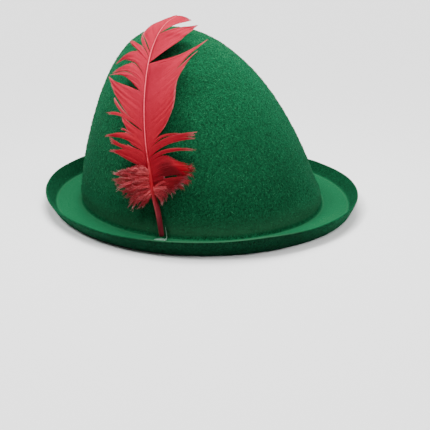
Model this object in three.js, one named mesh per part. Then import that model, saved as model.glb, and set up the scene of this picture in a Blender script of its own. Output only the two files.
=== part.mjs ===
// Feathered felt costume hat: one moulded felt body (egg-shaped crown, flat
// brim, turned-up rim) with a feather glued to its right side.
// Millimetres, +Z up. The brim's underside lies on z = 0 and the origin is the
// middle of the brim's outline. The hat's front faces -Y, its right side is -X.

import * as THREE from 'three';
import * as BufferGeometryUtils from 'three/addons/utils/BufferGeometryUtils.js';

// ---------------------------------------------------------------- dimensions

const FELT = 2.2;            // thickness of the moulded felt
const CROWN_RATIO = 0.873;   // crown width over crown length, at every height
const CROWN_Y = -3.4;        // middle of the crown's base, from the origin
const SEGMENTS = 72;         // facets round the hat

// Crown sections: height above the rest plane, half of the crown's length
// there, and how far the section's middle leans back from the base's middle.
const CROWN = [
  { z: 0, half: 102.7, back: 0.0 },
  { z: 15, half: 99.8, back: 2.8 },
  { z: 30, half: 95.5, back: 5.0 },
  { z: 45, half: 90.2, back: 6.9 },
  { z: 60, half: 84.0, back: 8.8 },
  { z: 75, half: 76.5, back: 10.9 },
  { z: 90, half: 67.6, back: 13.6 },
  { z: 105, half: 56.4, back: 17.0 },
  { z: 117, half: 44.5, back: 20.4 },
  { z: 126, half: 31.7, back: 23.6 },
  { z: 131, half: 20.3, back: 25.5 },
  { z: 134, half: 0.0, back: 26.8 },
];

// Half-axes of the crease where the flat brim turns up, from the middle of the
// crown's base: the brim is widest at the back and narrowest at the front.
const CREASE = { front: 120.9, back: 127.7, side: 108.7 };
const BRIM_REACH = 19.3;     // where the crease lies on the section below
// The rim stands higher at the front and back than at the two sides.
const RIM_RISE = { front: 0.6, back: 2.2, side: -1.4 };

// Section of brim and rim, from the crown's foot over the top of the brim, up
// and over the rim, and back along the underside to the head opening:
// out = distance outwards from the crown's foot, z = height.
const BRIM_SECTION = [
  { out: 0.3, z: 4.1 },      // foot of the crown, a small soft fillet
  { out: 1.0, z: 2.9 },
  { out: 2.4, z: 2.25 },
  { out: 9.0, z: 2.2 },      // flat of the brim
  { out: 17.6, z: 2.2 },
  { out: 19.1, z: 2.5 },     // crease
  { out: 20.1, z: 3.4 },
  { out: 22.3, z: 7.3 },     // inside of the rim
  { out: 24.4, z: 11.2 },
  { out: 24.8, z: 12.0 },    // rounded edge
  { out: 25.5, z: 12.35 },
  { out: 26.1, z: 12.0 },
  { out: 26.3, z: 11.3 },
  { out: 24.0, z: 6.8 },     // outside of the rim
  { out: 21.7, z: 2.4 },
  { out: 21.0, z: 1.15 },    // rounded fold
  { out: 20.1, z: 0.35 },
  { out: 18.8, z: 0.0 },
  { out: 10.0, z: 0.0 },     // flat underside, the rest face
  { out: 1.8, z: 0.0 },
  { out: 0.2, z: 0.3 },      // rounded lip of the head opening
  { out: -1.0, z: 1.2 },
  { out: -1.75, z: 2.7 },
];

const CROWN_RINGS_OUT = 17;  // rings on the outside of the crown
const CROWN_RINGS_IN = 15;   // rings on its inside

// Feather shaft: points along its middle, from the quill's end to the tip, and
// its radius at each. It lies close along the crown and lifts off at the top.
const SHAFT = [
  { x: -84.35, y: -44.8, z: 4.4, r: 2.1 },
  { x: -81.5, y: -40.3, z: 21.8, r: 2.15 },
  { x: -80.1, y: -35.5, z: 32.6, r: 1.9 },
  { x: -77.0, y: -28.5, z: 48.7, r: 1.4 },
  { x: -73.8, y: -23.0, z: 61.9, r: 1.1 },
  { x: -69.3, y: -17.7, z: 75.1, r: 0.95 },
  { x: -63.7, y: -12.5, z: 88.1, r: 0.85 },
  { x: -56.7, y: -7.4, z: 101.2, r: 0.75 },
  { x: -47.9, y: -2.3, z: 114.2, r: 0.65 },
  { x: -37.0, y: 2.7, z: 125.8, r: 0.55 },
  { x: -25.4, y: 6.4, z: 134.8, r: 0.45 },
  { x: -16.3, y: 8.5, z: 139.2, r: 0.4 },
  { x: -4.9, y: 9.0, z: 143.0, r: 0.35 },
];
const SHAFT_STEPS = 44;
const SHAFT_SIDES = 10;
const QUILL_START = -0.6;    // station of the quill's end in the tables below

// The vanes and the down are given in the feather's own plane:
// root = station on the shaft where a barb starts, up and out = where it ends
// (along the shaft, and away from it), bow = how far its middle is pushed
// towards the tip. A row with a short reach is the notch between two tufts.
const VANE_FRONT = [
  { root: 41, up: 46, out: 28, bow: 2 },
  { root: 44, up: 50, out: 20, bow: 2 },
  { root: 46, up: 54, out: 14, bow: 1 },
  { root: 47, up: 51, out: 4, bow: 0 },      // notch
  { root: 48, up: 53, out: 36.5, bow: 3 },   // lower finger
  { root: 50, up: 55.5, out: 37, bow: 3 },
  { root: 51, up: 57, out: 8, bow: 0 },      // notch
  { root: 52, up: 62.5, out: 37.5, bow: 4 }, // upper finger
  { root: 55.5, up: 67, out: 39.5, bow: 4 },
  { root: 57, up: 67.5, out: 22, bow: 2 },
  { root: 59, up: 65, out: 6, bow: 0 },      // notch
  { root: 60, up: 74.5, out: 16.4, bow: 0 }, // broad middle of the vane
  { root: 64, up: 82, out: 20.7, bow: 0 },
  { root: 70, up: 91, out: 23.6, bow: 0 },
  { root: 77, up: 99, out: 24.6, bow: 0 },
  { root: 84, up: 106, out: 25, bow: 0 },
  { root: 90, up: 111, out: 26, bow: 0 },
  { root: 96, up: 117, out: 29.5, bow: -1 },
  { root: 102, up: 125, out: 33, bow: -2 },
  { root: 108, up: 133.5, out: 34.5, bow: -3 },
  { root: 114, up: 145.5, out: 35.5, bow: -5 },
  { root: 120, up: 155.8, out: 38.1, bow: -8 },  // its long point
  { root: 124, up: 127.5, out: 4.6, bow: 0 },    // deep notch
  { root: 127, up: 159, out: 23.5, bow: -4 },    // upper lobe
  { root: 132, up: 166, out: 23.5, bow: -4 },
  { root: 140, up: 171, out: 23, bow: -3 },
  { root: 147, up: 174.5, out: 22.2, bow: -2 },
  { root: 149.5, up: 155.5, out: 5.2, bow: 0 },  // split
  { root: 151, up: 178, out: 13.8, bow: 2 },     // tip lobe
  { root: 158, up: 179.5, out: 10.5, bow: 1 },
  { root: 165, up: 180.5, out: 7, bow: 0 },
  { root: 171, up: 181, out: 3.8, bow: 0 },
  { root: 176.5, up: 181, out: 1.6, bow: 0 },
];

const VANE_BACK = [
  { root: 45, up: 62.5, out: 26, bow: -1 },
  { root: 47, up: 65.5, out: 31.7, bow: 1 },
  { root: 51, up: 62.6, out: 15.5, bow: 1 },
  { root: 53, up: 60, out: 8, bow: 0 },      // notch
  { root: 54, up: 69, out: 24, bow: 1 },
  { root: 55.5, up: 73, out: 31.5, bow: 1 },
  { root: 57, up: 66.5, out: 13, bow: 1 },
  { root: 58, up: 63.5, out: 7, bow: 0 },    // notch
  { root: 59, up: 72, out: 17, bow: 0 },
  { root: 60, up: 76.8, out: 36.6, bow: 4 }, // long finger
  { root: 61, up: 75.2, out: 18, bow: 1 },
  { root: 62, up: 70, out: 9, bow: 0 },      // notch
  { root: 63, up: 73.4, out: 12.1, bow: 0 }, // broad lower lobe
  { root: 66, up: 80, out: 17, bow: 0 },
  { root: 71, up: 86.5, out: 19.5, bow: 0 },
  { root: 73, up: 92, out: 34, bow: 2 },     // thin finger
  { root: 74.5, up: 89.5, out: 19.5, bow: 0 },
  { root: 81, up: 97.5, out: 25, bow: 0 },
  { root: 86, up: 103, out: 27.3, bow: 0 },
  { root: 92, up: 109, out: 30, bow: 0 },
  { root: 97, up: 117, out: 35, bow: -1 },
  { root: 98.5, up: 108.8, out: 16.7, bow: 0 },
  { root: 99.3, up: 102.5, out: 3.4, bow: 0 },   // deep notch
  { root: 101, up: 114, out: 13.6, bow: 0 },
  { root: 103.5, up: 118, out: 18.2, bow: 0 },
  { root: 107, up: 120.8, out: 33.9, bow: 4 },
  { root: 111, up: 124, out: 24, bow: 3 },
  { root: 114, up: 125.4, out: 13, bow: 1 },
  { root: 115, up: 124, out: 9, bow: 0 },    // notch
  { root: 116, up: 128, out: 14, bow: 1 },
  { root: 118, up: 128, out: 27, bow: 5 },
  { root: 120, up: 127.5, out: 32, bow: 8 },
  { root: 122.5, up: 134, out: 17, bow: 2 },
  { root: 124, up: 131, out: 7, bow: 0 },    // notch
  { root: 125, up: 137, out: 12, bow: 0 },
  { root: 126.5, up: 144.8, out: 22, bow: 0 },
  { root: 128, up: 138.5, out: 9, bow: 0 },
  { root: 129, up: 137, out: 6.3, bow: 0 },  // notch
  { root: 130.5, up: 142, out: 10.3, bow: 0 },   // tip lobe
  { root: 132.5, up: 148, out: 13.4, bow: 0 },
  { root: 136, up: 151, out: 13, bow: 0 },
  { root: 144, up: 157, out: 11.3, bow: 0 },
  { root: 153, up: 163.5, out: 8.6, bow: 0 },
  { root: 162, up: 170, out: 5.6, bow: 0 },
  { root: 170, up: 176, out: 3.4, bow: 0 },
  { root: 176.5, up: 180.5, out: 1.6, bow: 0 },
];

const DOWN_FRONT = [
  { root: 27, up: 19.5, out: 4.5, bow: 0 },
  { root: 29, up: 21.5, out: 8.5, bow: 0 },
  { root: 31, up: 23, out: 13.5, bow: 0 },
  { root: 33, up: 25, out: 18, bow: 0 },
  { root: 35, up: 29.7, out: 23.2, bow: 0 },
  { root: 37, up: 35, out: 28.4, bow: 0 },
  { root: 39, up: 42, out: 31, bow: 1 },
];

const DOWN_BACK = [
  { root: 29, up: 23.6, out: 7.8, bow: 0 },
  { root: 31, up: 21.5, out: 13.7, bow: 0 },
  { root: 33, up: 24.5, out: 22.5, bow: 0 },
  { root: 35, up: 30.3, out: 23.5, bow: 0 },
  { root: 37, up: 37.3, out: 28.2, bow: 0 },
  { root: 39, up: 44, out: 29.5, bow: 1 },
  { root: 41, up: 48.7, out: 33.5, bow: 2 },
  { root: 42, up: 49, out: 24, bow: 2 },
  { root: 43, up: 48.5, out: 10, bow: 1 },
];

const BARB_COLUMNS = 6;      // points along each row
const VANE_THICK = 1.2;      // the vane's barbs, as one plate
const DOWN_THICK = 4.2;      // the fluffy down
const ROOT_GAP = 0.55;       // between the shaft and a vane
const WRAP = 0.75;           // how far the vane follows the crown's curve
// Puddle of clear glue on the brim, under the quill's end: its middle, its size,
// and the way its long side points.
const GLUE = { x: -86.9, y: -45.4, z: 3.2, long: 8.8, wide: 3.8, high: 1.3, turn: -52 };

// ------------------------------------------------------------------- helpers

// A smooth function through the rows of a table.
function through(rows, xKey, value) {
  const xs = rows.map((row) => row[xKey]);
  const ys = rows.map(value);
  const n = xs.length;
  const chord = (i) => (ys[i + 1] - ys[i]) / (xs[i + 1] - xs[i]);
  const slope = xs.map((x, i) => {
    if (i === 0) return chord(0);
    if (i === n - 1) return chord(n - 2);
    const before = xs[i] - xs[i - 1];
    const after = xs[i + 1] - xs[i];
    return (chord(i - 1) * after + chord(i) * before) / (before + after);
  });
  return (x) => {
    if (x <= xs[0]) return ys[0] + slope[0] * (x - xs[0]);
    if (x >= xs[n - 1]) return ys[n - 1] + slope[n - 1] * (x - xs[n - 1]);
    let i = 0;
    while (x > xs[i + 1]) i += 1;
    const width = xs[i + 1] - xs[i];
    const t = (x - xs[i]) / width;
    const t2 = t * t;
    const t3 = t2 * t;
    return ys[i] * (2 * t3 - 3 * t2 + 1) + width * slope[i] * (t3 - 2 * t2 + t)
      + ys[i + 1] * (3 * t2 - 2 * t3) + width * slope[i + 1] * (t3 - t2);
  };
}

// The crown's height field: half-length squared, so that it closes round.
const halfSquared = through(CROWN, 'z', (row) => row.half * row.half);
const leanBack = through(CROWN, 'z', (row) => row.back);
const CROWN_TOP = CROWN[CROWN.length - 1].z;

// Signed distance (near the felt) from a point to the outside of the crown.
function crownField(p) {
  const x = p.x / CROWN_RATIO;
  const y = p.y - CROWN_Y - leanBack(p.z);
  return x * x + y * y - halfSquared(p.z);
}
function crownSlope(p) {
  const step = 0.05;
  const axis = (key) => {
    const a = p.clone();
    const b = p.clone();
    a[key] += step;
    b[key] -= step;
    return (crownField(a) - crownField(b)) / (2 * step);
  };
  return new THREE.Vector3(axis('x'), axis('y'), axis('z'));
}
const crownDistance = (p) => crownField(p) / crownSlope(p).length();
const crownNormal = (p) => crownSlope(p).normalize();

function meshOf(name, geometry, material) {
  geometry.deleteAttribute('normal');
  geometry.deleteAttribute('uv');
  const merged = BufferGeometryUtils.mergeVertices(geometry, 1e-4);
  merged.computeVertexNormals();
  const mesh = new THREE.Mesh(merged, material);
  mesh.name = name;
  return mesh;
}

// A closed skin over a grid of points: rows of equal length, each row joined to
// the next. Rings close round; a plate has a top, an underside and its edges.
function geometryFrom(points, triangles) {
  const position = new Float32Array(points.length * 3);
  points.forEach((p, i) => p.toArray(position, i * 3));
  let volume = 0;
  for (const [a, b, c] of triangles) {
    volume += points[a].dot(points[b].clone().cross(points[c]));
  }
  const index = triangles.flatMap(([a, b, c]) => (volume > 0 ? [a, b, c] : [a, c, b]));
  const geometry = new THREE.BufferGeometry();
  geometry.setAttribute('position', new THREE.BufferAttribute(position, 3));
  geometry.setIndex(index);
  return geometry;
}

// ----------------------------------------------------------------- felt body

// Section of the felt as a closed line: the crown's outside from the top down,
// brim and rim, then the crown's inside up to the top again.
function feltSection() {
  const line = [];
  const footZ = BRIM_SECTION[0].z;
  for (let i = 0; i <= CROWN_RINGS_OUT; i += 1) {
    const t = i / (CROWN_RINGS_OUT + 1);
    const z = footZ + (CROWN_TOP - footZ) * (1 - t ** 1.7);
    line.push({ r: Math.sqrt(Math.max(halfSquared(z), 0)), z, back: leanBack(z), crown: true });
  }
  line[0].r = 0;
  for (const row of BRIM_SECTION) {
    const inside = row.out < -1.5;
    line.push({ out: row.out, z: row.z, crown: false, inside });
  }
  for (let i = CROWN_RINGS_IN; i >= 0; i -= 1) {
    const t = i / (CROWN_RINGS_IN + 1);
    const z = footZ + (CROWN_TOP - footZ) * (1 - t ** 1.7);
    const half = Math.sqrt(Math.max(halfSquared(z), 0));
    // the felt's thickness is measured square to the outside
    const above = Math.sqrt(Math.max(halfSquared(Math.min(z + 0.4, CROWN_TOP)), 0));
    const below = Math.sqrt(Math.max(halfSquared(z - 0.4), 0));
    const run = Math.min(z + 0.4, CROWN_TOP) - (z - 0.4);
    const length = Math.hypot(below - above, run);
    const outward = i === 0 ? 0 : run / length;
    const upward = i === 0 ? 1 : (below - above) / length;
    line.push({
      r: Math.max(half - FELT * outward, 0), z: z - FELT * upward, back: leanBack(z), crown: true,
    });
  }
  line[line.length - 1].r = 0;
  return line;
}

function feltBody() {
  const line = feltSection();
  const foot = Math.sqrt(halfSquared(BRIM_SECTION[0].z));
  const profile = line.map((p) => new THREE.Vector2(p.crown ? p.r : foot + p.out, p.z));
  const lathe = new THREE.LatheGeometry(profile, SEGMENTS);
  const position = lathe.attributes.position;
  const footBack = leanBack(BRIM_SECTION[0].z);
  for (let k = 0; k < position.count; k += 1) {
    const row = line[k % profile.length];
    const turn = (2 * Math.PI * Math.floor(k / profile.length)) / SEGMENTS;
    const across = Math.cos(turn);
    const along = Math.sin(turn);
    let halfX;
    let halfY;
    let shift;
    let z = row.z;
    if (row.crown) {
      halfX = row.r * CROWN_RATIO;
      halfY = row.r;
      shift = row.back;
    } else {
      const crease = along < 0 ? CREASE.front : CREASE.back;
      const s = Math.min(row.out / BRIM_REACH, 1);
      const past = Math.max(row.out - BRIM_REACH, 0);
      const inwards = Math.min(row.out, 0);
      const t = Math.max(s, 0);
      halfX = foot * CROWN_RATIO * (1 - t) + CREASE.side * t + past + inwards;
      halfY = foot * (1 - t) + crease * t + past + inwards;
      shift = footBack * (1 - t);
      const rise = along < 0 ? RIM_RISE.front : RIM_RISE.back;
      const blend = along * along;
      const lift = Math.min(Math.max((row.z - 3) / 8, 0), 1);
      if (row.out > 15) z += lift * (rise * blend + RIM_RISE.side * (1 - blend));
    }
    position.setXYZ(k, halfX * across, halfY * along + CROWN_Y + shift, z);
  }
  // faces point out of the felt
  const points = [];
  for (let k = 0; k < position.count; k += 1) {
    points.push(new THREE.Vector3().fromBufferAttribute(position, k));
  }
  const triangles = [];
  const index = lathe.index;
  for (let k = 0; k < index.count; k += 3) {
    const [a, b, c] = [index.getX(k), index.getX(k + 1), index.getX(k + 2)];
    const area = points[b].clone().sub(points[a]).cross(points[c].clone().sub(points[a])).length();
    if (area > 1e-6) triangles.push([a, b, c]);
  }
  return geometryFrom(points, triangles);
}

// ------------------------------------------------------------------- feather

const shaftCurve = new THREE.CatmullRomCurve3(
  SHAFT.map((row) => new THREE.Vector3(row.x, row.y, row.z)), false, 'centripetal',
);
shaftCurve.arcLengthDivisions = 600;
const SHAFT_LENGTH = shaftCurve.getLength();
const shaftStations = SHAFT.map((row, i) => {
  const t = i / (SHAFT.length - 1);
  const lengths = shaftCurve.getLengths();
  return { at: lengths[Math.round(t * (lengths.length - 1))], r: row.r };
});
const shaftRadius = through(shaftStations, 'at', (row) => row.r);

// The feather's frame at a station: point, direction, away from the felt, and
// across the vane (towards the hat's front).
function shaftFrame(station) {
  const s = Math.min(Math.max((station - QUILL_START) / SHAFT_LENGTH, 0), 1);
  const point = shaftCurve.getPointAt(s);
  const along = shaftCurve.getTangentAt(s);
  const away = crownNormal(point);
  away.addScaledVector(along, -away.dot(along)).normalize();
  const across = along.clone().cross(away);
  const past = station - QUILL_START - s * SHAFT_LENGTH;
  point.addScaledVector(along, past);
  return { point, along, away, across };
}

// From the feather's own plane to the hat: the vane bends round the crown.
function onCrown(station, out) {
  const { point, across } = shaftFrame(station);
  const q = point.clone().addScaledVector(across, out);
  const base = crownDistance(point);
  const flat = crownDistance(q);
  const normal = crownNormal(q);
  q.addScaledVector(normal, (1 - WRAP) * (flat - base) + base - flat);
  return { q, normal: crownNormal(q) };
}

function feltGap(q, normal, half) {
  // never nearer to the felt than a small gap under the plate
  const need = half + 0.5 - crownDistance(q);
  if (need > 0) q.addScaledVector(normal, need);
}

function plate(table, side, thickness) {
  const rows = table.length;
  const top = [];
  const under = [];
  for (const row of table) {
    const start = shaftRadius(row.root - QUILL_START) + ROOT_GAP;
    for (let j = 0; j < BARB_COLUMNS; j += 1) {
      const t = j / (BARB_COLUMNS - 1);
      const up = row.root + (row.up - row.root) * t + row.bow * 4 * t * (1 - t) * 0.5;
      const out = start + (row.out - start) * t;
      const { q, normal } = onCrown(up, side * out);
      const half = (thickness / 2) * (1 - 0.45 * t);
      feltGap(q, normal, half);
      top.push(q.clone().addScaledVector(normal, half));
      under.push(q.clone().addScaledVector(normal, -half));
    }
  }
  const points = [...top, ...under];
  const n = BARB_COLUMNS;
  const low = rows * n;
  const triangles = [];
  const quad = (a, b, c, d) => triangles.push([a, b, c], [a, c, d]);
  for (let i = 0; i < rows - 1; i += 1) {
    for (let j = 0; j < n - 1; j += 1) {
      const a = i * n + j;
      quad(a, a + 1, a + n + 1, a + n);
      quad(low + a, low + a + n, low + a + n + 1, low + a + 1);
    }
    quad(i * n, (i + 1) * n, low + (i + 1) * n, low + i * n);
    quad(i * n + n - 1, low + i * n + n - 1, low + (i + 1) * n + n - 1, (i + 1) * n + n - 1);
  }
  for (let j = 0; j < n - 1; j += 1) {
    quad(j, low + j, low + j + 1, j + 1);
    const e = (rows - 1) * n + j;
    quad(e, e + 1, low + e + 1, low + e);
  }
  return geometryFrom(points, triangles);
}

function shaft() {
  const points = [];
  const triangles = [];
  for (let i = 0; i <= SHAFT_STEPS; i += 1) {
    const station = QUILL_START + (SHAFT_LENGTH * i) / SHAFT_STEPS;
    const { point, away, across } = shaftFrame(station);
    const r = shaftRadius(station - QUILL_START);
    for (let k = 0; k < SHAFT_SIDES; k += 1) {
      const turn = (2 * Math.PI * k) / SHAFT_SIDES;
      points.push(point.clone()
        .addScaledVector(across, r * Math.cos(turn))
        .addScaledVector(away, r * Math.sin(turn)));
    }
  }
  for (let i = 0; i < SHAFT_STEPS; i += 1) {
    for (let k = 0; k < SHAFT_SIDES; k += 1) {
      const next = (k + 1) % SHAFT_SIDES;
      const a = i * SHAFT_SIDES + k;
      const b = i * SHAFT_SIDES + next;
      triangles.push([a, b, b + SHAFT_SIDES], [a, b + SHAFT_SIDES, a + SHAFT_SIDES]);
    }
  }
  const last = SHAFT_STEPS * SHAFT_SIDES;
  for (let k = 1; k < SHAFT_SIDES - 1; k += 1) {
    triangles.push([0, k + 1, k], [last, last + k, last + k + 1]);
  }
  return geometryFrom(points, triangles);
}

// Puddle of clear glue, a low pebble lying just clear of brim and quill.
function glueDab() {
  const dab = new THREE.SphereGeometry(1, 16, 10);
  dab.rotateX(Math.PI / 2);
  dab.scale(GLUE.long / 2, GLUE.wide / 2, GLUE.high / 2);
  dab.rotateZ(THREE.MathUtils.degToRad(GLUE.turn));
  dab.translate(GLUE.x, GLUE.y, GLUE.z);
  return dab;
}

// ---------------------------------------------------------------- materials

const felt = new THREE.MeshStandardMaterial({ color: 0x0b7a45, roughness: 0.95, metalness: 0 });
const vane = new THREE.MeshStandardMaterial({ color: 0xcf3a41, roughness: 0.6, metalness: 0 });
const quill = new THREE.MeshStandardMaterial({ color: 0xb3202c, roughness: 0.4, metalness: 0 });
const glue = new THREE.MeshStandardMaterial({ color: 0xe6ece6, roughness: 0.2, metalness: 0 });

// ----------------------------------------------------------------- assembly

const hat = new THREE.Group();
hat.add(meshOf('felt_body', feltBody(), felt));

const feather = new THREE.Group();
feather.add(meshOf('feather_shaft', shaft(), quill));
feather.add(meshOf('feather_vane_front', plate(VANE_FRONT, 1, VANE_THICK), vane));
feather.add(meshOf('feather_vane_back', plate(VANE_BACK, -1, VANE_THICK), vane));
feather.add(meshOf('feather_down_front', plate(DOWN_FRONT, 1, DOWN_THICK), vane));
feather.add(meshOf('feather_down_back', plate(DOWN_BACK, -1, DOWN_THICK), vane));
hat.add(feather);
hat.add(meshOf('glue_dab', glueDab(), glue));

export default hat;
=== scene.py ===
import math

import bpy
import numpy as np
from mathutils import Matrix, Vector, noise


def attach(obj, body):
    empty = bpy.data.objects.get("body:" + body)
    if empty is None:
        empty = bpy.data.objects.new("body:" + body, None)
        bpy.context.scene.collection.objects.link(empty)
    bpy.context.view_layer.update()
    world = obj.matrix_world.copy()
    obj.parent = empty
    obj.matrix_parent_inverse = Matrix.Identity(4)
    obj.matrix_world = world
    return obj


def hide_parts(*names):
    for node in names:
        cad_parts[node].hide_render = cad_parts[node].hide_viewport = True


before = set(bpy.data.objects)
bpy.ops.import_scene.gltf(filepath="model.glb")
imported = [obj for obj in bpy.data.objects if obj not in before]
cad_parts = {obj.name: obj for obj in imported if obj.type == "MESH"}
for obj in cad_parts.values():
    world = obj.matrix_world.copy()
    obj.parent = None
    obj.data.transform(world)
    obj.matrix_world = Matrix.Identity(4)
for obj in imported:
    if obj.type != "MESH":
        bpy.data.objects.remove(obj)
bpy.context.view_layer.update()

MM = 0.001
TAU = 2 * math.pi

# --------------------------------------------------------------- camera, light
# All lengths below are in millimetres, in the hat's own frame: +Z up, the
# hat's front faces -Y, its right side is -X, the brim rests on z = 0.

CAMERA_AT = (-365.1, -342.7, 180.3)
CAMERA_YAW, CAMERA_PITCH, CAMERA_ROLL = -48.482, 21.530, -1.330
CAMERA_LENS = 53.89


def make_camera():
    yaw, pitch, roll = (math.radians(v) for v in (CAMERA_YAW, CAMERA_PITCH, CAMERA_ROLL))
    back = Vector((math.sin(yaw) * math.cos(pitch), -math.cos(yaw) * math.cos(pitch), math.sin(pitch)))
    right = Vector((math.cos(yaw), math.sin(yaw), 0))
    up = back.cross(right)
    r2 = math.cos(roll) * right + math.sin(roll) * up
    u2 = -math.sin(roll) * right + math.cos(roll) * up
    data = bpy.data.cameras.new("camera")
    data.lens = CAMERA_LENS
    data.sensor_width = 36
    data.clip_start, data.clip_end = 0.01, 20
    cam = bpy.data.objects.new("camera", data)
    basis = Matrix((r2, u2, back)).transposed().to_4x4()
    basis.translation = Vector(CAMERA_AT) * MM
    cam.matrix_world = basis
    bpy.context.scene.collection.objects.link(cam)
    bpy.context.scene.camera = cam
    return cam


def sun(name, towards, strength, angle, colour=(1, 1, 1)):
    data = bpy.data.lights.new(name, "SUN")
    data.energy = strength
    data.angle = math.radians(angle)
    data.color = colour
    lamp = bpy.data.objects.new(name, data)
    lamp.rotation_mode = "QUATERNION"
    lamp.rotation_quaternion = Vector(towards).to_track_quat("Z", "Y")
    lamp.location = (0, 0, 2)
    bpy.context.scene.collection.objects.link(lamp)
    return lamp


def make_stage():
    world = bpy.data.worlds.new("studio")
    world.use_nodes = True
    background = world.node_tree.nodes["Background"]
    background.inputs["Color"].default_value = (1.0, 1.0, 1.0, 1)
    background.inputs["Strength"].default_value = 0.10
    bpy.context.scene.world = world
    # three broad soft lights, all high: behind, right front, left
    sun("high_back", (0.40, 0.35, 0.85), 4.3, 36)
    sun("high_front", (0.11, -0.52, 0.85), 2.7, 36)
    sun("high_left", (-0.35, 0.40, 0.85), 2.7, 16)
    # and a small near one over the crown
    data = bpy.data.lights.new("near_top", "AREA")
    data.shape = "DISK"
    data.size = 0.24
    data.energy = 0.85
    lamp = bpy.data.objects.new("near_top", data)
    lamp.location = (-0.03, -0.03, 0.35)
    bpy.context.scene.collection.objects.link(lamp)

    mesh = bpy.data.meshes.new("floor")
    mesh.from_pydata([(-9, -9, 0), (9, -9, 0), (9, 9, 0), (-9, 9, 0)], [], [(0, 1, 2, 3)])
    floor = bpy.data.objects.new("floor", mesh)
    bpy.context.scene.collection.objects.link(floor)
    mat = bpy.data.materials.new("floor")
    mat.use_nodes = True
    bsdf = mat.node_tree.nodes["Principled BSDF"]
    bsdf.inputs["Base Color"].default_value = (0.84, 0.84, 0.84, 1)
    bsdf.inputs["Roughness"].default_value = 1.0
    bsdf.inputs["Specular IOR Level"].default_value = 0.0
    floor.data.materials.append(mat)


make_camera()
make_stage()

# --------------------------------------------------------------------- helpers


def hermite(xs, ys):
    """A smooth function through the points of a table."""
    xs, ys = np.asarray(xs, float), np.asarray(ys, float)
    chord = np.diff(ys) / np.diff(xs)
    slope = np.empty_like(ys)
    slope[0], slope[-1] = chord[0], chord[-1]
    gap = np.diff(xs)
    slope[1:-1] = (chord[:-1] * gap[1:] + chord[1:] * gap[:-1]) / (gap[1:] + gap[:-1])

    def value(x):
        x = np.asarray(x, float)
        i = np.clip(np.searchsorted(xs, x, side="right") - 1, 0, len(xs) - 2)
        w = xs[i + 1] - xs[i]
        t = (x - xs[i]) / w
        inner = (ys[i] * (2 * t**3 - 3 * t**2 + 1) + w * slope[i] * (t**3 - 2 * t**2 + t)
                 + ys[i + 1] * (3 * t**2 - 2 * t**3) + w * slope[i + 1] * (t**3 - t**2))
        low = ys[0] + slope[0] * (x - xs[0])
        high = ys[-1] + slope[-1] * (x - xs[-1])
        return np.where(x < xs[0], low, np.where(x > xs[-1], high, inner))

    return value


def unit(v):
    return v / np.maximum(np.linalg.norm(v, axis=-1, keepdims=True), 1e-12)


def smoothstep(a, b, x):
    t = np.clip((x - a) / (b - a), 0, 1)
    return t * t * (3 - 2 * t)


def make_object(name, verts, faces, body="root", attributes=None, smooth=True):
    """verts in millimetres (n, 3); faces as an (m, 3) or (m, 4) array or a list of them."""
    verts = np.asarray(verts, float) * MM
    groups = faces if isinstance(faces, list) else [faces]
    groups = [np.asarray(g, np.int32) for g in groups if len(g)]
    loops = np.concatenate([g.ravel() for g in groups])
    counts = np.concatenate([np.full(len(g), g.shape[1]) for g in groups])
    starts = np.concatenate([[0], np.cumsum(counts)[:-1]])
    mesh = bpy.data.meshes.new(name)
    mesh.vertices.add(len(verts))
    mesh.vertices.foreach_set("co", verts.astype(np.float32).ravel())
    mesh.loops.add(len(loops))
    mesh.loops.foreach_set("vertex_index", loops.astype(np.int32))
    mesh.polygons.add(len(counts))
    mesh.polygons.foreach_set("loop_start", starts.astype(np.int32))
    mesh.polygons.foreach_set("loop_total", counts.astype(np.int32))
    if smooth:
        mesh.polygons.foreach_set("use_smooth", np.ones(len(counts), bool))
    mesh.update(calc_edges=True)
    mesh.validate()
    for key, values in (attributes or {}).items():
        layer = mesh.attributes.new(key, "FLOAT", "POINT")
        layer.data.foreach_set("value", np.asarray(values, np.float32))
    obj = bpy.data.objects.new(name, mesh)
    bpy.context.scene.collection.objects.link(obj)
    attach(obj, body)
    return obj


# ------------------------------------------------------------------- the crown

FELT = 2.2
CROWN_RATIO = 0.873
CROWN_Y = -3.4
# height above the rest plane, half length there, lean towards the back
CROWN = np.array([
    (0, 102.7, 0.0), (15, 99.8, 2.8), (30, 95.5, 5.0), (45, 90.2, 6.9),
    (60, 84.0, 8.8), (75, 76.5, 10.9), (90, 67.6, 13.6), (105, 56.4, 17.0),
    (117, 44.5, 20.4), (126, 31.7, 23.6), (131, 20.3, 25.5), (134, 0.0, 26.8),
])
CREASE = {"front": 120.9, "back": 127.7, "side": 108.7}
BRIM_REACH = 19.3
RIM_RISE = {"front": 0.6, "back": 2.2, "side": -1.4}
# out from the crown's foot, height: crown's foot, brim, crease, rim, underside
BRIM_SECTION = np.array([
    (-0.2, 4.1), (0.15, 3.1), (0.5, 2.45), (1.1, 2.23), (2.4, 2.2), (9.0, 2.2),
    (17.8, 2.2), (19.0, 2.4),
    (20.1, 3.4), (22.3, 7.3), (24.4, 11.2), (24.8, 12.0), (25.5, 12.35),
    (26.1, 12.0), (26.3, 11.3), (24.0, 6.8), (21.7, 2.4), (21.0, 1.15),
    (20.1, 0.35), (18.8, 0.0), (10.0, 0.0), (1.8, 0.0), (0.2, 0.3),
    (-1.0, 1.2), (-1.75, 2.7),
])
FOOT_Z, TOP_Z = BRIM_SECTION[0][1], CROWN[-1][0]

half_squared = hermite(CROWN[:, 0], CROWN[:, 1] ** 2)
lean_back = hermite(CROWN[:, 0], CROWN[:, 2])
FOOT = float(np.sqrt(half_squared(FOOT_Z)))


def crown_field(p):
    x = p[..., 0] / CROWN_RATIO
    y = p[..., 1] - CROWN_Y - lean_back(p[..., 2])
    return x * x + y * y - half_squared(p[..., 2])


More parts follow.
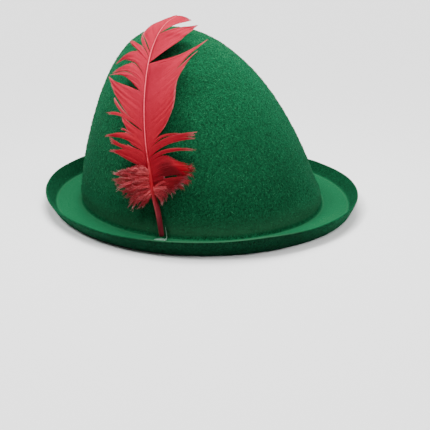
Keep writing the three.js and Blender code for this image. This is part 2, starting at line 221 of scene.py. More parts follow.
def crown_slope(p):
    step = 0.05
    return np.stack([
        (crown_field(p + step * axis) - crown_field(p - step * axis)) / (2 * step)
        for axis in np.eye(3)
    ], -1)


def crown_distance(p):
    return crown_field(p) / np.linalg.norm(crown_slope(p), axis=-1)


def crown_normal(p):
    return unit(crown_slope(p))


def resample(points, spacing):
    """Points along a polyline, about spacing apart, rounded at its corners."""
    p = np.asarray(points, float)
    ends = np.vstack([2 * p[0] - p[1], p, 2 * p[-1] - p[-2]])
    out = []
    for i in range(1, len(ends) - 2):
        a, b, c, d = ends[i - 1:i + 3]
        n = max(2, int(math.ceil(np.linalg.norm(c - b) / spacing)))
        # centripetal knots keep the short corner steps from overshooting
        k = [0.0]
        for q, r in ((a, b), (b, c), (c, d)):
            k.append(k[-1] + max(np.linalg.norm(r - q), 1e-6) ** 0.5)
        for t in np.linspace(k[1], k[2], n, endpoint=False):
            a1 = (k[1] - t) / (k[1] - k[0]) * a + (t - k[0]) / (k[1] - k[0]) * b
            a2 = (k[2] - t) / (k[2] - k[1]) * b + (t - k[1]) / (k[2] - k[1]) * c
            a3 = (k[3] - t) / (k[3] - k[2]) * c + (t - k[2]) / (k[3] - k[2]) * d
            b1 = (k[2] - t) / (k[2] - k[0]) * a1 + (t - k[0]) / (k[2] - k[0]) * a2
            b2 = (k[3] - t) / (k[3] - k[1]) * a2 + (t - k[1]) / (k[3] - k[1]) * a3
            out.append((k[2] - t) / (k[2] - k[1]) * b1 + (t - k[1]) / (k[2] - k[1]) * b2)
    out.append(p[-1])
    return np.array(out)


def felt_section():
    """Rows of (kind, radius or out, z, lean): kind 0 = crown, 1 = brim."""
    rows = []
    n = 118
    for i in range(n + 1):
        t = i / (n + 1)
        z = FOOT_Z + (TOP_Z - FOOT_Z) * (1 - t**1.7)
        r = float(np.sqrt(max(half_squared(z), 0)))
        rows.append((0, 0.0 if i == 0 else r, z, float(lean_back(z))))
    for out, z in resample(BRIM_SECTION, 0.9):
        rows.append((1, out, z, 0.0))
    n = 64
    for i in range(n, -1, -1):
        t = i / (n + 1)
        z = FOOT_Z + (TOP_Z - FOOT_Z) * (1 - t**1.7)
        zu, zl = min(z + 0.4, TOP_Z), z - 0.4
        above = float(np.sqrt(max(half_squared(zu), 0)))
        below = float(np.sqrt(max(half_squared(zl), 0)))
        length = math.hypot(below - above, zu - zl)
        outward = 0 if i == 0 else (zu - zl) / length
        upward = 1 if i == 0 else (below - above) / length
        half = float(np.sqrt(max(half_squared(z), 0)))
        rows.append((0, 0.0 if i == 0 else max(half - FELT * outward, 0), z - FELT * upward,
                     float(lean_back(z))))
    return rows


def felt_points(rows, turns):
    """Positions (rings, turns, 3) of the felt's section swept round the oval."""
    kind = np.array([r[0] for r in rows])[:, None]
    a = np.array([r[1] for r in rows])[:, None]
    z = np.array([r[2] for r in rows])[:, None]
    lean = np.array([r[3] for r in rows])[:, None]
    across, along = np.cos(turns)[None], np.sin(turns)[None]
    crease = np.where(along < 0, CREASE["front"], CREASE["back"])
    t = np.clip(a / BRIM_REACH, 0, 1)
    past = np.maximum(a - BRIM_REACH, 0)
    inwards = np.minimum(a, 0)
    bx = FOOT * CROWN_RATIO * (1 - t) + CREASE["side"] * t + past + inwards
    by = FOOT * (1 - t) + crease * t + past + inwards
    shift = float(lean_back(FOOT_Z)) * (1 - t)
    rise = np.where(along < 0, RIM_RISE["front"], RIM_RISE["back"])
    front = smoothstep(0.80, 0.98, across * -0.694 - along * 0.721)
    # left: towards the hat's left front, which is the right side as seen
    left = across * 0.663 - along * 0.749
    dip = smoothstep(0.30, 0.55, left) * (1 - smoothstep(0.88, 1.0, left)) * smoothstep(0.1, 0.4, across * -0.749 - along * 0.663)
    lift = np.clip((z - 3) / 8, 0, 1) * (rise * along**2 + RIM_RISE["side"] * (1 - along**2) + 0.9 * front - 0.9 * dip)
    lift = lift * (a > 15)
    hx = np.where(kind == 0, a * CROWN_RATIO, bx)
    hy = np.where(kind == 0, a, by)
    sh = np.where(kind == 0, lean, shift)
    zz = np.where(kind == 0, z + 0 * along, z + lift)
    # the crown swells a little over its foot, most at the left front
    swell = np.clip(np.where(left > 0, 1.25, 0.55) * (np.abs(left) - 0.35) / 0.5, 0, None).clip(None, 1.25)
    swell = swell * np.exp(-((z - 11.5) / 5.5) ** 2) * (kind == 0)
    # and the whole hat is a little fuller on that side
    fuller = np.where(kind == 0, np.interp(z, [4, 12, 40, 75, 110, 134], [0.9, 0.6, 1.1, 0.7, 0.2, 0.0]),
                      np.interp(a, [-2, 1, 18, 19.3, 24, 26], [0.9, 0.9, 2.2, 2.4, 2.0, 1.6]))
    swell = swell + fuller * smoothstep(0.45, 0.95, left)
    return np.stack([(hx + swell) * across, (hy + swell) * along + CROWN_Y + sh, zz], -1)


# ------------------------------------------------------------------- materials


class Nodes:
    """Short hand for building a material's node tree."""

    def __init__(self, name):
        self.mat = bpy.data.materials.new(name)
        self.mat.use_nodes = True
        self.tree = self.mat.node_tree
        self.bsdf = self.tree.nodes["Principled BSDF"]
        self.coords = None

    def new(self, kind, **settings):
        node = self.tree.nodes.new(kind)
        for key, value in settings.items():
            setattr(node, key, value)
        return node

    def link(self, a, b):
        self.tree.links.new(a, b)

    def position(self):
        if self.coords is None:
            self.coords = self.new("ShaderNodeTexCoord").outputs["Object"]
        return self.coords

    def mapped(self, scale=(1, 1, 1), rotate=(0, 0, 0), offset=(0, 0, 0)):
        m = self.new("ShaderNodeMapping")
        m.inputs["Scale"].default_value = scale
        m.inputs["Rotation"].default_value = rotate
        m.inputs["Location"].default_value = offset
        self.link(self.position(), m.inputs["Vector"])
        return m.outputs["Vector"]

    def noise(self, scale, detail=3, rough=0.55, vector=None, distortion=0.0):
        n = self.new("ShaderNodeTexNoise")
        n.inputs["Scale"].default_value = scale
        n.inputs["Detail"].default_value = detail
        n.inputs["Roughness"].default_value = rough
        n.inputs["Distortion"].default_value = distortion
        self.link(vector if vector is not None else self.position(), n.inputs["Vector"])
        return n.outputs["Fac"]

    def ramp(self, value, stops, interpolation="LINEAR"):
        r = self.new("ShaderNodeValToRGB")
        r.color_ramp.interpolation = interpolation
        while len(r.color_ramp.elements) < len(stops):
            r.color_ramp.elements.new(0.5)
        for element, (at, colour) in zip(r.color_ramp.elements, stops):
            element.position = at
            element.color = colour if len(colour) == 4 else (*colour, 1)
        self.link(value, r.inputs["Fac"])
        return r.outputs["Color"]

    def math(self, operation, a, b=None, clamp=False):
        m = self.new("ShaderNodeMath", operation=operation, use_clamp=clamp)
        for value, socket in ((a, m.inputs[0]), (b, m.inputs[1])):
            if value is None:
                continue
            if isinstance(value, (int, float)):
                socket.default_value = value
            else:
                self.link(value, socket)
        return m.outputs[0]

    def mix(self, factor, a, b, blend="MIX"):
        m = self.new("ShaderNodeMix", data_type="RGBA", blend_type=blend)
        for value, socket in ((factor, m.inputs[0]), (a, m.inputs[6]), (b, m.inputs[7])):
            if isinstance(value, (int, float)):
                socket.default_value = value
            elif isinstance(value, tuple):
                socket.default_value = value if len(value) == 4 else (*value, 1)
            else:
                self.link(value, socket)
        return m.outputs[2]

    def attribute(self, name):
        return self.new("ShaderNodeAttribute", attribute_name=name).outputs["Fac"]

    def bump(self, height, distance, strength=1.0, normal=None):
        b = self.new("ShaderNodeBump")
        b.inputs["Strength"].default_value = strength
        b.inputs["Distance"].default_value = distance
        self.link(height, b.inputs["Height"])
        if normal is not None:
            self.link(normal, b.inputs["Normal"])
        return b.outputs["Normal"]

    def set(self, **values):
        for key, value in values.items():
            socket = self.bsdf.inputs[key.replace("_", " ")]
            if hasattr(value, "is_output"):
                self.link(value, socket)
            else:
                socket.default_value = value
        return self.mat


GREEN = (0.075, 1.0, 0.375)       # the dye, as a ratio of red, green and blue


def green(level, pale=0.0):
    return tuple(level * c + pale for c in GREEN)


def felt_material():
    n = Nodes("felt")
    # matted fibre bundles: fine noise drawn out in several directions
    streaks = None
    for k, turn in enumerate(((0.3, 0.5, 0.2), (1.2, -0.6, 0.9), (-0.7, 1.3, 2.1), (2.0, 0.4, -1.1))):
        v = n.mapped(scale=(1, 1, 0.25), rotate=turn, offset=(k * 0.7, 0, 0))
        s = n.noise(1150, detail=2, rough=0.55, vector=v, distortion=0.5)
        streaks = s if streaks is None else n.math("MAXIMUM", streaks, s)
    pits = n.noise(800, detail=3, rough=0.60, distortion=0.9)
    fine = n.noise(1500, detail=2, rough=0.6)
    cloud = n.noise(60, detail=3, rough=0.5)
    broad = n.noise(15, detail=2, rough=0.5)
    colour = n.ramp(pits, [(0.36, green(0.034)), (0.50, green(0.074)), (0.66, green(0.112, 0.002))])
    flecks = n.ramp(streaks, [(0.62, (0, 0, 0)), (0.74, (1, 1, 1))])
    colour = n.mix(n.math("MULTIPLY", flecks, 0.5), colour, green(0.18, 0.010))
    colour = n.mix(0.30, colour, n.ramp(fine, [(0.3, (0.7, 0.7, 0.7)), (0.7, (1.25, 1.25, 1.25))]), "MULTIPLY")
    colour = n.mix(0.18, colour, n.ramp(cloud, [(0.32, (0.72, 0.72, 0.72)), (0.70, (1.22, 1.22, 1.22))]), "MULTIPLY")
    colour = n.mix(0.5, colour, n.ramp(broad, [(0.3, (0.88, 0.88, 0.88)), (0.7, (1.1, 1.1, 1.1))]), "MULTIPLY")
    # painted shade: the crown is darker low down, where less light falls from above,
    # and paler again at its foot
    colour = n.mix(n.attribute("low"), colour, (0.5, 0.5, 0.52), "MULTIPLY")
    # the brim is pressed smooth, with a paler line along both its creases; the crown's
    # foot has a paler band, painted light against the shade in the crease; the rim's
    # inside and outside are darkened, painted shade, and its edge at the front is paler,
    # a painted highlight
    smooth = n.mix(n.math("MULTIPLY", flecks, 0.15), green(0.088, 0.003), green(0.14, 0.007))
    smooth = n.mix(0.35, smooth, n.ramp(pits, [(0.3, (0.86, 0.86, 0.86)), (0.7, (1.10, 1.10, 1.10))]), "MULTIPLY")
    smooth = n.mix(0.4, smooth, n.ramp(broad, [(0.3, (0.88, 0.88, 0.88)), (0.7, (1.1, 1.1, 1.1))]), "MULTIPLY")
    colour = n.mix(n.attribute("brim"), colour, smooth)
    # pale lines along the brim's creases, and on the crown's foot painted light against the crease's shade
    colour = n.mix(n.attribute("line"), colour, green(0.098, 0.016))
    # painted shade on the rim's inner face
    colour = n.mix(n.attribute("inside"), colour, (0.62, 0.66, 0.66), "MULTIPLY")
    # painted shade on the rim's outside
    colour = n.mix(n.attribute("shade"), colour, (0.30, 0.30, 0.33), "MULTIPLY")
    # painted highlight along the rim's edge at the front
    colour = n.mix(n.attribute("edge"), colour, green(0.10, 0.028))
    height = n.math("ADD", n.math("MULTIPLY", streaks, 0.9), n.math("MULTIPLY", pits, 1.1))
    normal = n.bump(height, 0.0008, 0.8)
    mat = n.set(Base_Color=colour, Roughness=0.95, Normal=normal)
    n.bsdf.inputs["Specular IOR Level"].default_value = 0.03
    n.bsdf.inputs["Sheen Weight"].default_value = 0.07
    n.bsdf.inputs["Sheen Roughness"].default_value = 0.4
    n.bsdf.inputs["Sheen Tint"].default_value = (0.08, 0.85, 0.45, 1)
    return mat


def fibre_material():
    n = Nodes("felt_fibre")
    speck = n.noise(700, detail=2)
    colour = n.ramp(n.attribute("tone"), [(0.0, green(0.075)), (0.55, green(0.145, 0.005)), (1.0, green(0.24, 0.025))])
    colour = n.mix(0.4, colour, n.ramp(speck, [(0.3, (0.7, 0.7, 0.7)), (0.7, (1.2, 1.2, 1.2))]), "MULTIPLY")
    n.set(Base_Color=colour, Roughness=0.85)
    n.bsdf.inputs["Specular IOR Level"].default_value = 0.08
    return n.mat


def barb_material():
    n = Nodes("barb")
    station = n.attribute("station")   # 0 at the quill's end, 1 at the tip
    reach = n.attribute("reach")       # 0 at the shaft, 1 at the barb's end
    tone = n.attribute("tone")         # one value for each barb
    rim = n.attribute("rim")           # 1 on a barb that borders a split
    colour = n.ramp(station, [
        (0.18, (0.18, 0.005, 0.010)), (0.27, (0.225, 0.005, 0.012)), (0.35, (0.33, 0.008, 0.020)),
        (0.55, (0.385, 0.013, 0.034)), (0.75, (0.40, 0.011, 0.035)), (1.0, (0.41, 0.011, 0.036)),
    ])
    colour = n.mix(0.5, colour, n.ramp(tone, [(0.0, (0.70, 0.55, 0.55)), (0.5, (1, 1, 1)), (1.0, (1.16, 1.35, 1.30))]), "MULTIPLY")
    speck = n.noise(420, detail=3)
    colour = n.mix(0.30, colour, n.ramp(speck, [(0.3, (0.80, 0.75, 0.75)), (0.7, (1.12, 1.2, 1.2))]), "MULTIPLY")
    # painted highlight: the barbs' ends are paler, and so are the outer parts of barbs that border a split
    pale = n.ramp(reach, [(0.88, (0, 0, 0)), (0.985, (1, 1, 1))])
    colour = n.mix(n.math("MULTIPLY", pale, 0.34), colour, (0.46, 0.15, 0.18))
    colour = n.mix(n.math("MULTIPLY", rim, 0.34), colour, (0.48, 0.15, 0.18))
    # painted shade in the hollow under the rolled lobe's ridge, and over all of the apron and web
    colour = n.mix(n.attribute("dim"), colour, (0.48, 0.46, 0.50), "MULTIPLY")
    colour = n.mix(n.attribute("fold"), colour, (0.25, 0.002, 0.009))
    n.set(Base_Color=colour, Roughness=0.7)
    n.bsdf.inputs["Specular IOR Level"].default_value = 0.05
    return n.mat


def shaft_material():
    n = Nodes("quill")
    station = n.attribute("station")
    colour = n.ramp(station, [
        (0.00, (0.125, 0.011, 0.020)), (0.10, (0.155, 0.009, 0.017)), (0.155, (0.20, 0.005, 0.010)),
        (0.20, (0.26, 0.002, 0.008)), (0.27, (0.28, 0.003, 0.010)), (0.34, (0.32, 0.006, 0.014)),
        (0.50, (0.42, 0.014, 0.032)), (0.85, (0.50, 0.026, 0.055)), (1.0, (0.50, 0.03, 0.06)),
    ])
    # its back carries a painted highlight along the ridge, broken where it begins
    pale = n.ramp(station, [
        (0.00, (0.16, 0.025, 0.035)), (0.155, (0.40, 0.028, 0.042)), (0.185, (0.27, 0.002, 0.010)),
        (0.235, (0.30, 0.003, 0.012)), (0.255, (0.62, 0.045, 0.065)), (0.36, (0.84, 0.085, 0.13)),
        (0.85, (0.84, 0.085, 0.13)), (1.0, (0.62, 0.045, 0.08)),
    ])
    colour = n.mix(n.attribute("ridge"), colour, pale)
    grain = n.noise(900, detail=2, vector=n.mapped(scale=(1, 1, 0.12)))
    colour = n.mix(0.5, colour, n.ramp(grain, [(0.3, (0.75, 0.7, 0.7)), (0.7, (1.15, 1.2, 1.2))]), "MULTIPLY")
    n.set(Base_Color=colour, Roughness=0.45, Normal=n.bump(grain, 0.0002, 0.3))
    n.bsdf.inputs["Specular IOR Level"].default_value = 0.16
    n.bsdf.inputs["Coat Weight"].default_value = 0.05
    n.bsdf.inputs["Coat Roughness"].default_value = 0.25
    return n.mat


def down_material():
    n = Nodes("down")
    tone = n.attribute("tone")
    reach = n.attribute("reach")
    colour = n.ramp(tone, [
        (0.0, (0.085, 0.004, 0.005)), (0.35, (0.20, 0.006, 0.010)), (0.62, (0.31, 0.010, 0.018)),
        (0.85, (0.42, 0.030, 0.044)), (1.0, (0.54, 0.10, 0.11)),
    ])
    # painted highlight: the filaments are paler towards their ends
    ends = n.ramp(reach, [(0.0, (0.9, 0.7, 0.7)), (0.60, (1, 1, 1)), (0.82, (1.05, 1.6, 1.5)), (1.0, (1.25, 7.0, 5.4))])
    colour = n.mix(1.0, colour, ends, "MULTIPLY")
    speck = n.noise(500, detail=2)
    colour = n.mix(0.4, colour, n.ramp(speck, [(0.3, (0.7, 0.7, 0.7)), (0.7, (1.2, 1.2, 1.2))]), "MULTIPLY")
    n.set(Base_Color=colour, Roughness=0.65)
    n.bsdf.inputs["Specular IOR Level"].default_value = 0.15
    n.bsdf.inputs["Sheen Weight"].default_value = 0.06
    n.bsdf.inputs["Sheen Tint"].default_value = (1.0, 0.6, 0.6, 1)
    return n.mat


def glue_material():
    n = Nodes("glue")
    cloud = n.noise(600, detail=3)
    n.set(Base_Color=n.ramp(cloud, [(0.3, (0.07, 0.20, 0.13)), (0.7, (0.22, 0.38, 0.29))]), Roughness=0.35,
          Normal=n.bump(cloud, 0.0003, 0.3))
    n.bsdf.inputs["Transmission Weight"].default_value = 0.45
    n.bsdf.inputs["IOR"].default_value = 1.45
    return n.mat


FELT_MAT, FIBRE_MAT = felt_material(), fibre_material()
BARB_MAT, SHAFT_MAT = barb_material(), shaft_material()
DOWN_MAT, GLUE_MAT = down_material(), glue_material()

# ------------------------------------------------------------------- felt body


def ripple(points, scale, seed):
    """Smooth noise from -1 to 1 at each point; scale is its wavelength in millimetres."""
    shift = Vector((seed * 17.3, seed * 5.1, seed * 9.7))
    return np.array([noise.noise(Vector(p) / scale + shift) for p in points])


def make_felt():
    rows = felt_section()
    turns = np.linspace(0, TAU, 300, endpoint=False)
    grid = felt_points(rows, turns)
    rings, count = grid.shape[:2]
    # normals of the grid, to push the felt's unevenness along
    du = np.roll(grid, -1, 1) - np.roll(grid, 1, 1)
    dv = np.empty_like(grid)
    dv[1:-1] = grid[2:] - grid[:-2]
    dv[0], dv[-1] = grid[1] - grid[0], grid[-1] - grid[-2]
    normal = unit(np.cross(du, dv))
    outer_mid = grid[40, 0] - np.array([0, 20.0, 60.0])
    if (normal[40, 0] * outer_mid).sum() < 0:
        normal = -normal
    kind = np.array([r[0] for r in rows])
    out = np.array([r[1] for r in rows])
    z = np.array([r[2] for r in rows])
    first_brim = int(np.argmax(kind == 1))
    last_brim = rings - 1 - int(np.argmax(kind[::-1] == 1))
    flat = grid.reshape(-1, 3)
    wave = (0.30 * ripple(flat, 34, 1) + 0.11 * ripple(flat, 11, 2) + 0.05 * ripple(flat, 4.2, 3)).reshape(rings, count)
    ring = np.arange(rings)
    # nothing moves on the flat underside and at the head opening
    weight = np.ones(rings)
    under = (kind == 1) & (z < 1.2) & (ring > first_brim + 10)
    weight[under] = 0
    weight[last_brim:] = 0.3
    top = (kind == 1) & (ring < first_brim + 60) & (out > 2) & (out < 19)
    weight[top] = 0.45
    weight = np.convolve(np.pad(weight, 3, mode="edge"), np.ones(7) / 7, "valid")
    weight[under] = 0
    weight[0] = weight[-1] = 0
    grid = grid + normal * (wave * weight[:, None])[..., None]
    # poles
    verts = [grid[0, :1], grid[1:-1].reshape(-1, 3), grid[-1, :1]]
    verts = np.concatenate(verts)
    inner = rings - 2
    i, j = np.meshgrid(np.arange(inner - 1), np.arange(count), indexing="ij")
    nxt = (j + 1) % count
    a, b = 1 + i * count + j, 1 + i * count + nxt
    quads = np.stack([a, b, b + count, a + count], -1).reshape(-1, 4)
    jj = np.arange(count)
    nj = (jj + 1) % count
    last = 1 + (inner - 1) * count
    cap_top = np.stack([np.zeros(count, int), 1 + nj, 1 + jj], -1)
    cap_end = np.stack([np.full(count, len(verts) - 1), last + jj, last + nj], -1)
    faces = [quads, cap_top, cap_end]
    # outward faces: test one quad on the crown's outside
    q = quads[30 * count]
    face_n = np.cross(verts[q[1]] - verts[q[0]], verts[q[3]] - verts[q[0]])
    if (face_n * (verts[q[0]] - np.array([0, 20.0, 60.0]))).sum() < 0:
        faces = [f[:, ::-1] for f in faces]

    def spread(per_ring):
        field = np.repeat(np.asarray(per_ring, float)[:, None], count, 1)
        return np.concatenate([field[0, :1], field[1:-1].ravel(), field[-1, :1]])

    crest = first_brim + int(np.argmax(z[first_brim:last_brim + 1]))
    outside = (kind == 1) & (ring > crest + 1) & (out > 19.5)
    upper = (kind == 1) & (ring < crest)
    brim = np.where(upper, smoothstep(0.45, 0.95, out) * (1 - smoothstep(18.6, 19.2, out)), 0)
    line = np.where(upper, np.exp(-((out - 1.35) / 0.45) ** 2) + np.exp(-((out - 18.2) / 0.5) ** 2), 0) * 0.5
    # the crown's foot gets a paler band: painted light against the shade in the crease
    line = line + np.where((kind == 0) & (ring < first_brim), 0.75 * np.exp(-((z - 5) / 8) ** 2), 0)
    # painted shade on the rim's inner face
    inside = np.where((kind == 1) & (ring <= crest + 1), smoothstep(18.8, 19.3, out), 0)
    # painted shade on the rim's outside
    shade = np.convolve(np.pad(outside.astype(float), 1, mode="edge"), np.ones(3) / 3, "valid")
    # painted highlight along the rim's edge
    edge = np.where(kind == 1, np.exp(-((ring - crest - 1) / 1.0) ** 2), 0)
    # painted shade: darker low on the crown, where less light falls from above
    low = np.where(kind == 0, np.interp(z, [4, 10, 20, 35, 60, 90, 110], [-0.2, 0.05, 0.42, 0.48, 0.34, 0.04, 0.0]), 0)
    # the painted shade on the rim's outside is weakest at the two ends seen from the
    # right front, where side light reaches it; the painted highlight on its edge lies
    # only between them
    way = unit(np.stack([np.cos(turns), np.sin(turns)], -1))
    ends = smoothstep(0.45, 0.95, np.abs(way @ np.array([0.663, -0.749])))
    facing = smoothstep(0.86, 0.96, way @ np.array([-0.688, -0.726]))

    def by_turn(per_ring, factor):
        field = np.asarray(per_ring, float)[:, None] * factor[None]
        return np.concatenate([field[0, :1], field[1:-1].ravel(), field[-1, :1]])

    attributes = {"brim": spread(brim), "line": spread(line), "inside": spread(inside), "low": spread(low),
                  "shade": by_turn(shade, 1 - 0.62 * ends), "edge": by_turn(edge, 0.9 * facing)}
    obj = make_object("felt_hat", verts, faces, attributes=attributes)
    obj.data.materials.append(FELT_MAT)
    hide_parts("felt_body")
    return obj, grid, normal, rows, first_brim


felt, felt_grid, felt_normal, felt_rows, first_brim = make_felt()


def make_fibres(name, ring_low, ring_high, count, seed, length, radius):
    """Short loose fibres lying on the felt, each a thin closed three-sided thread."""
    rng = np.random.default_rng(seed)
    grid, normal = felt_grid, felt_normal
    # pick places evenly by area
    part = grid[ring_low:ring_high]
    du = np.linalg.norm(np.roll(part, -1, 1) - part, axis=-1)[:-1]
    dv = np.linalg.norm(part[1:] - part[:-1], axis=-1)
    area = (du * dv).ravel()
    pick = rng.choice(len(area), count, p=area / area.sum())
    r, c = np.divmod(pick, part.shape[1])
    fr, fc = rng.random((2, count))
    cn = (c + 1) % part.shape[1]

    def at(field):
        f = field[ring_low:ring_high]
        return (f[r, c] * ((1 - fr) * (1 - fc))[:, None] + f[r, cn] * ((1 - fr) * fc)[:, None]
                + f[r + 1, c] * (fr * (1 - fc))[:, None] + f[r + 1, cn] * (fr * fc)[:, None])

    base, up = at(grid), unit(at(normal))
    any_way = rng.normal(size=(count, 3))
    lie = unit(any_way - up * (any_way * up).sum(-1, keepdims=True))
    side = np.cross(up, lie)
    steps = 3
    size = length * (0.45 + 0.9 * rng.random(count))
    curl = rng.normal(0, 0.5, count)
    rise = 0.10 + 0.22 * rng.random(count)
    loft = rng.random(count) ** 3 * 0.6
    points = []
    for k in range(steps):
        t = k / (steps - 1)
        s = (t - 0.5) * size
        h = rise * (4 * t * (1 - t)) + loft * t - 0.12
        points.append(base + lie * s[:, None] + side * (curl * (t - 0.5) ** 2 * size)[:, None] + up * h[:, None])
    points = np.stack(points, 1)
    tone = rng.random(count) ** 1.5
    verts, faces, tones = thread(points, radius * (0.6 + 0.8 * rng.random(count)), 3, side, up, tone)
    obj = make_object(name, verts, faces, attributes={"tone": tones})
    obj.data.materials.append(FIBRE_MAT)
    return obj


def thread(points, radius, sides, side, up, tone, taper=(0.5, 1.0, 0.9, 0.4), flat=1.0):
    """Closed thin tubes along many short paths: points is (count, steps, 3)."""
    count, steps = points.shape[:2]
    taper = np.interp(np.linspace(0, 1, steps), np.linspace(0, 1, len(taper)), taper)
    if side.ndim == 2:
        side = np.repeat(side[:, None], steps, 1)
        up = np.repeat(up[:, None], steps, 1)
    radius = np.asarray(radius, float)
    if radius.ndim == 1:
        radius = radius[:, None] * taper[None]
    turn = np.arange(sides) / sides * TAU
    ring = (np.cos(turn)[None, None, :, None] * side[:, :, None] * radius[:, :, None, None]
            + np.sin(turn)[None, None, :, None] * up[:, :, None] * (radius * flat)[:, :, None, None])
    verts = (points[:, :, None] + ring).reshape(-1, 3)
    per = steps * sides
    k, s = np.meshgrid(np.arange(steps - 1), np.arange(sides), indexing="ij")
    a = k * sides + s
    b = k * sides + (s + 1) % sides
    quads = np.stack([a, b, b + sides, a + sides], -1).reshape(-1, 4)
    start = np.arange(sides)[::-1]
    end = (steps - 1) * sides + np.arange(sides)
    base = (np.arange(count) * per)[:, None, None]
    all_quads = (quads[None] + base).reshape(-1, 4)
    caps = (np.stack([start, end])[None] + base).reshape(-1, sides)
    # outward: the ring must run the right way round the path
    along = points[:, 1] - points[:, 0]
    turnway = (np.cross(side[:, 0], up[:, 0]) * along).sum(-1)
    flip = np.repeat(turnway < 0, len(quads))
    all_quads[flip] = all_quads[flip][:, ::-1]
    flip_caps = np.repeat(turnway < 0, 2)
    caps[flip_caps] = caps[flip_caps][:, ::-1]
    tones = np.repeat(tone, per)
    return verts, [all_quads, caps], tones


make_fibres("felt_fibres_crown", 2, first_brim, 13400, 11, 2.5, 0.095)
make_fibres("felt_fibres_brim", first_brim + 6, first_brim + 46, 1800, 12, 1.9, 0.05)

# --------------------------------------------------------------------- feather

# points along the shaft's middle and its radius there
SHAFT = np.array([
    (-84.35, -44.8, 4.4, 1.75), (-82.1, -39.6, 21.8, 1.9), (-80.75, -34.75, 32.6, 1.75),
    (-77.05, -28.4, 48.7, 1.4), (-73.8, -23.0, 61.9, 1.1), (-69.3, -17.7, 75.1, 0.95),
    (-63.7, -12.5, 88.1, 0.85), (-56.7, -7.4, 101.2, 0.75), (-47.9, -2.3, 114.2, 0.65),
    (-37.0, 2.7, 125.8, 0.55), (-25.4, 6.4, 134.8, 0.45), (-16.3, 8.5, 139.2, 0.4),
    (-4.9, 9.0, 143.0, 0.35),
])
QUILL_START = -0.6
WRAP = 0.75


class ShaftLine:
    def __init__(self):
        steps = np.linalg.norm(np.diff(SHAFT[:, :3], axis=0), axis=1)
        knots = np.concatenate([[0], np.cumsum(steps)])
        axes = [hermite(knots, SHAFT[:, k]) for k in range(3)]
        fine = np.linspace(0, knots[-1], 2400)
        line = np.stack([f(fine) for f in axes], -1)
        arc = np.concatenate([[0], np.cumsum(np.linalg.norm(np.diff(line, axis=0), axis=1))])
        self.length = arc[-1]
        self.line, self.arc = line, arc
        at = np.interp(knots, fine, arc)
        self.radius = hermite(at, SHAFT[:, 3])

    def frame(self, station):
        s = np.clip(np.asarray(station, float) - QUILL_START, 0, self.length)
        point = np.stack([np.interp(s, self.arc, self.line[:, k]) for k in range(3)], -1)
        e = 0.6
        a = np.clip(s - e, 0, self.length)
        b = np.clip(s + e, 0, self.length)
        pa = np.stack([np.interp(a, self.arc, self.line[:, k]) for k in range(3)], -1)
        pb = np.stack([np.interp(b, self.arc, self.line[:, k]) for k in range(3)], -1)
        along = unit(pb - pa)
        away = crown_normal(point)
        away = unit(away - along * (away * along).sum(-1, keepdims=True))
        across = np.cross(along, away)
        past = np.asarray(station, float) - QUILL_START - s
        return point + along * past[..., None], along, away, across


SHAFT_LINE = ShaftLine()


def on_crown(station, out, wrap=WRAP):
    """From the feather's own plane to the hat: the vane bends round the crown."""
    point, _, _, across = SHAFT_LINE.frame(station)
    out = np.asarray(out, float)
    q = point + across * out[..., None]
    base, flat = crown_distance(point), crown_distance(q)
    normal = crown_normal(q)
    q = q + normal * ((1 - wrap) * (flat - base) + base - flat)[..., None]
    return q, crown_normal(q)


def raised(points, normals, height):
    """Lift points off the crown along the line to the camera, so that the
    outline measured from there stays where it is."""
    sight = unit(np.array(CAMERA_AT) - points)
    lean = np.clip((sight * normals).sum(-1, keepdims=True), 0.55, 1)
    return points + sight * np.asarray(height)[..., None] / lean


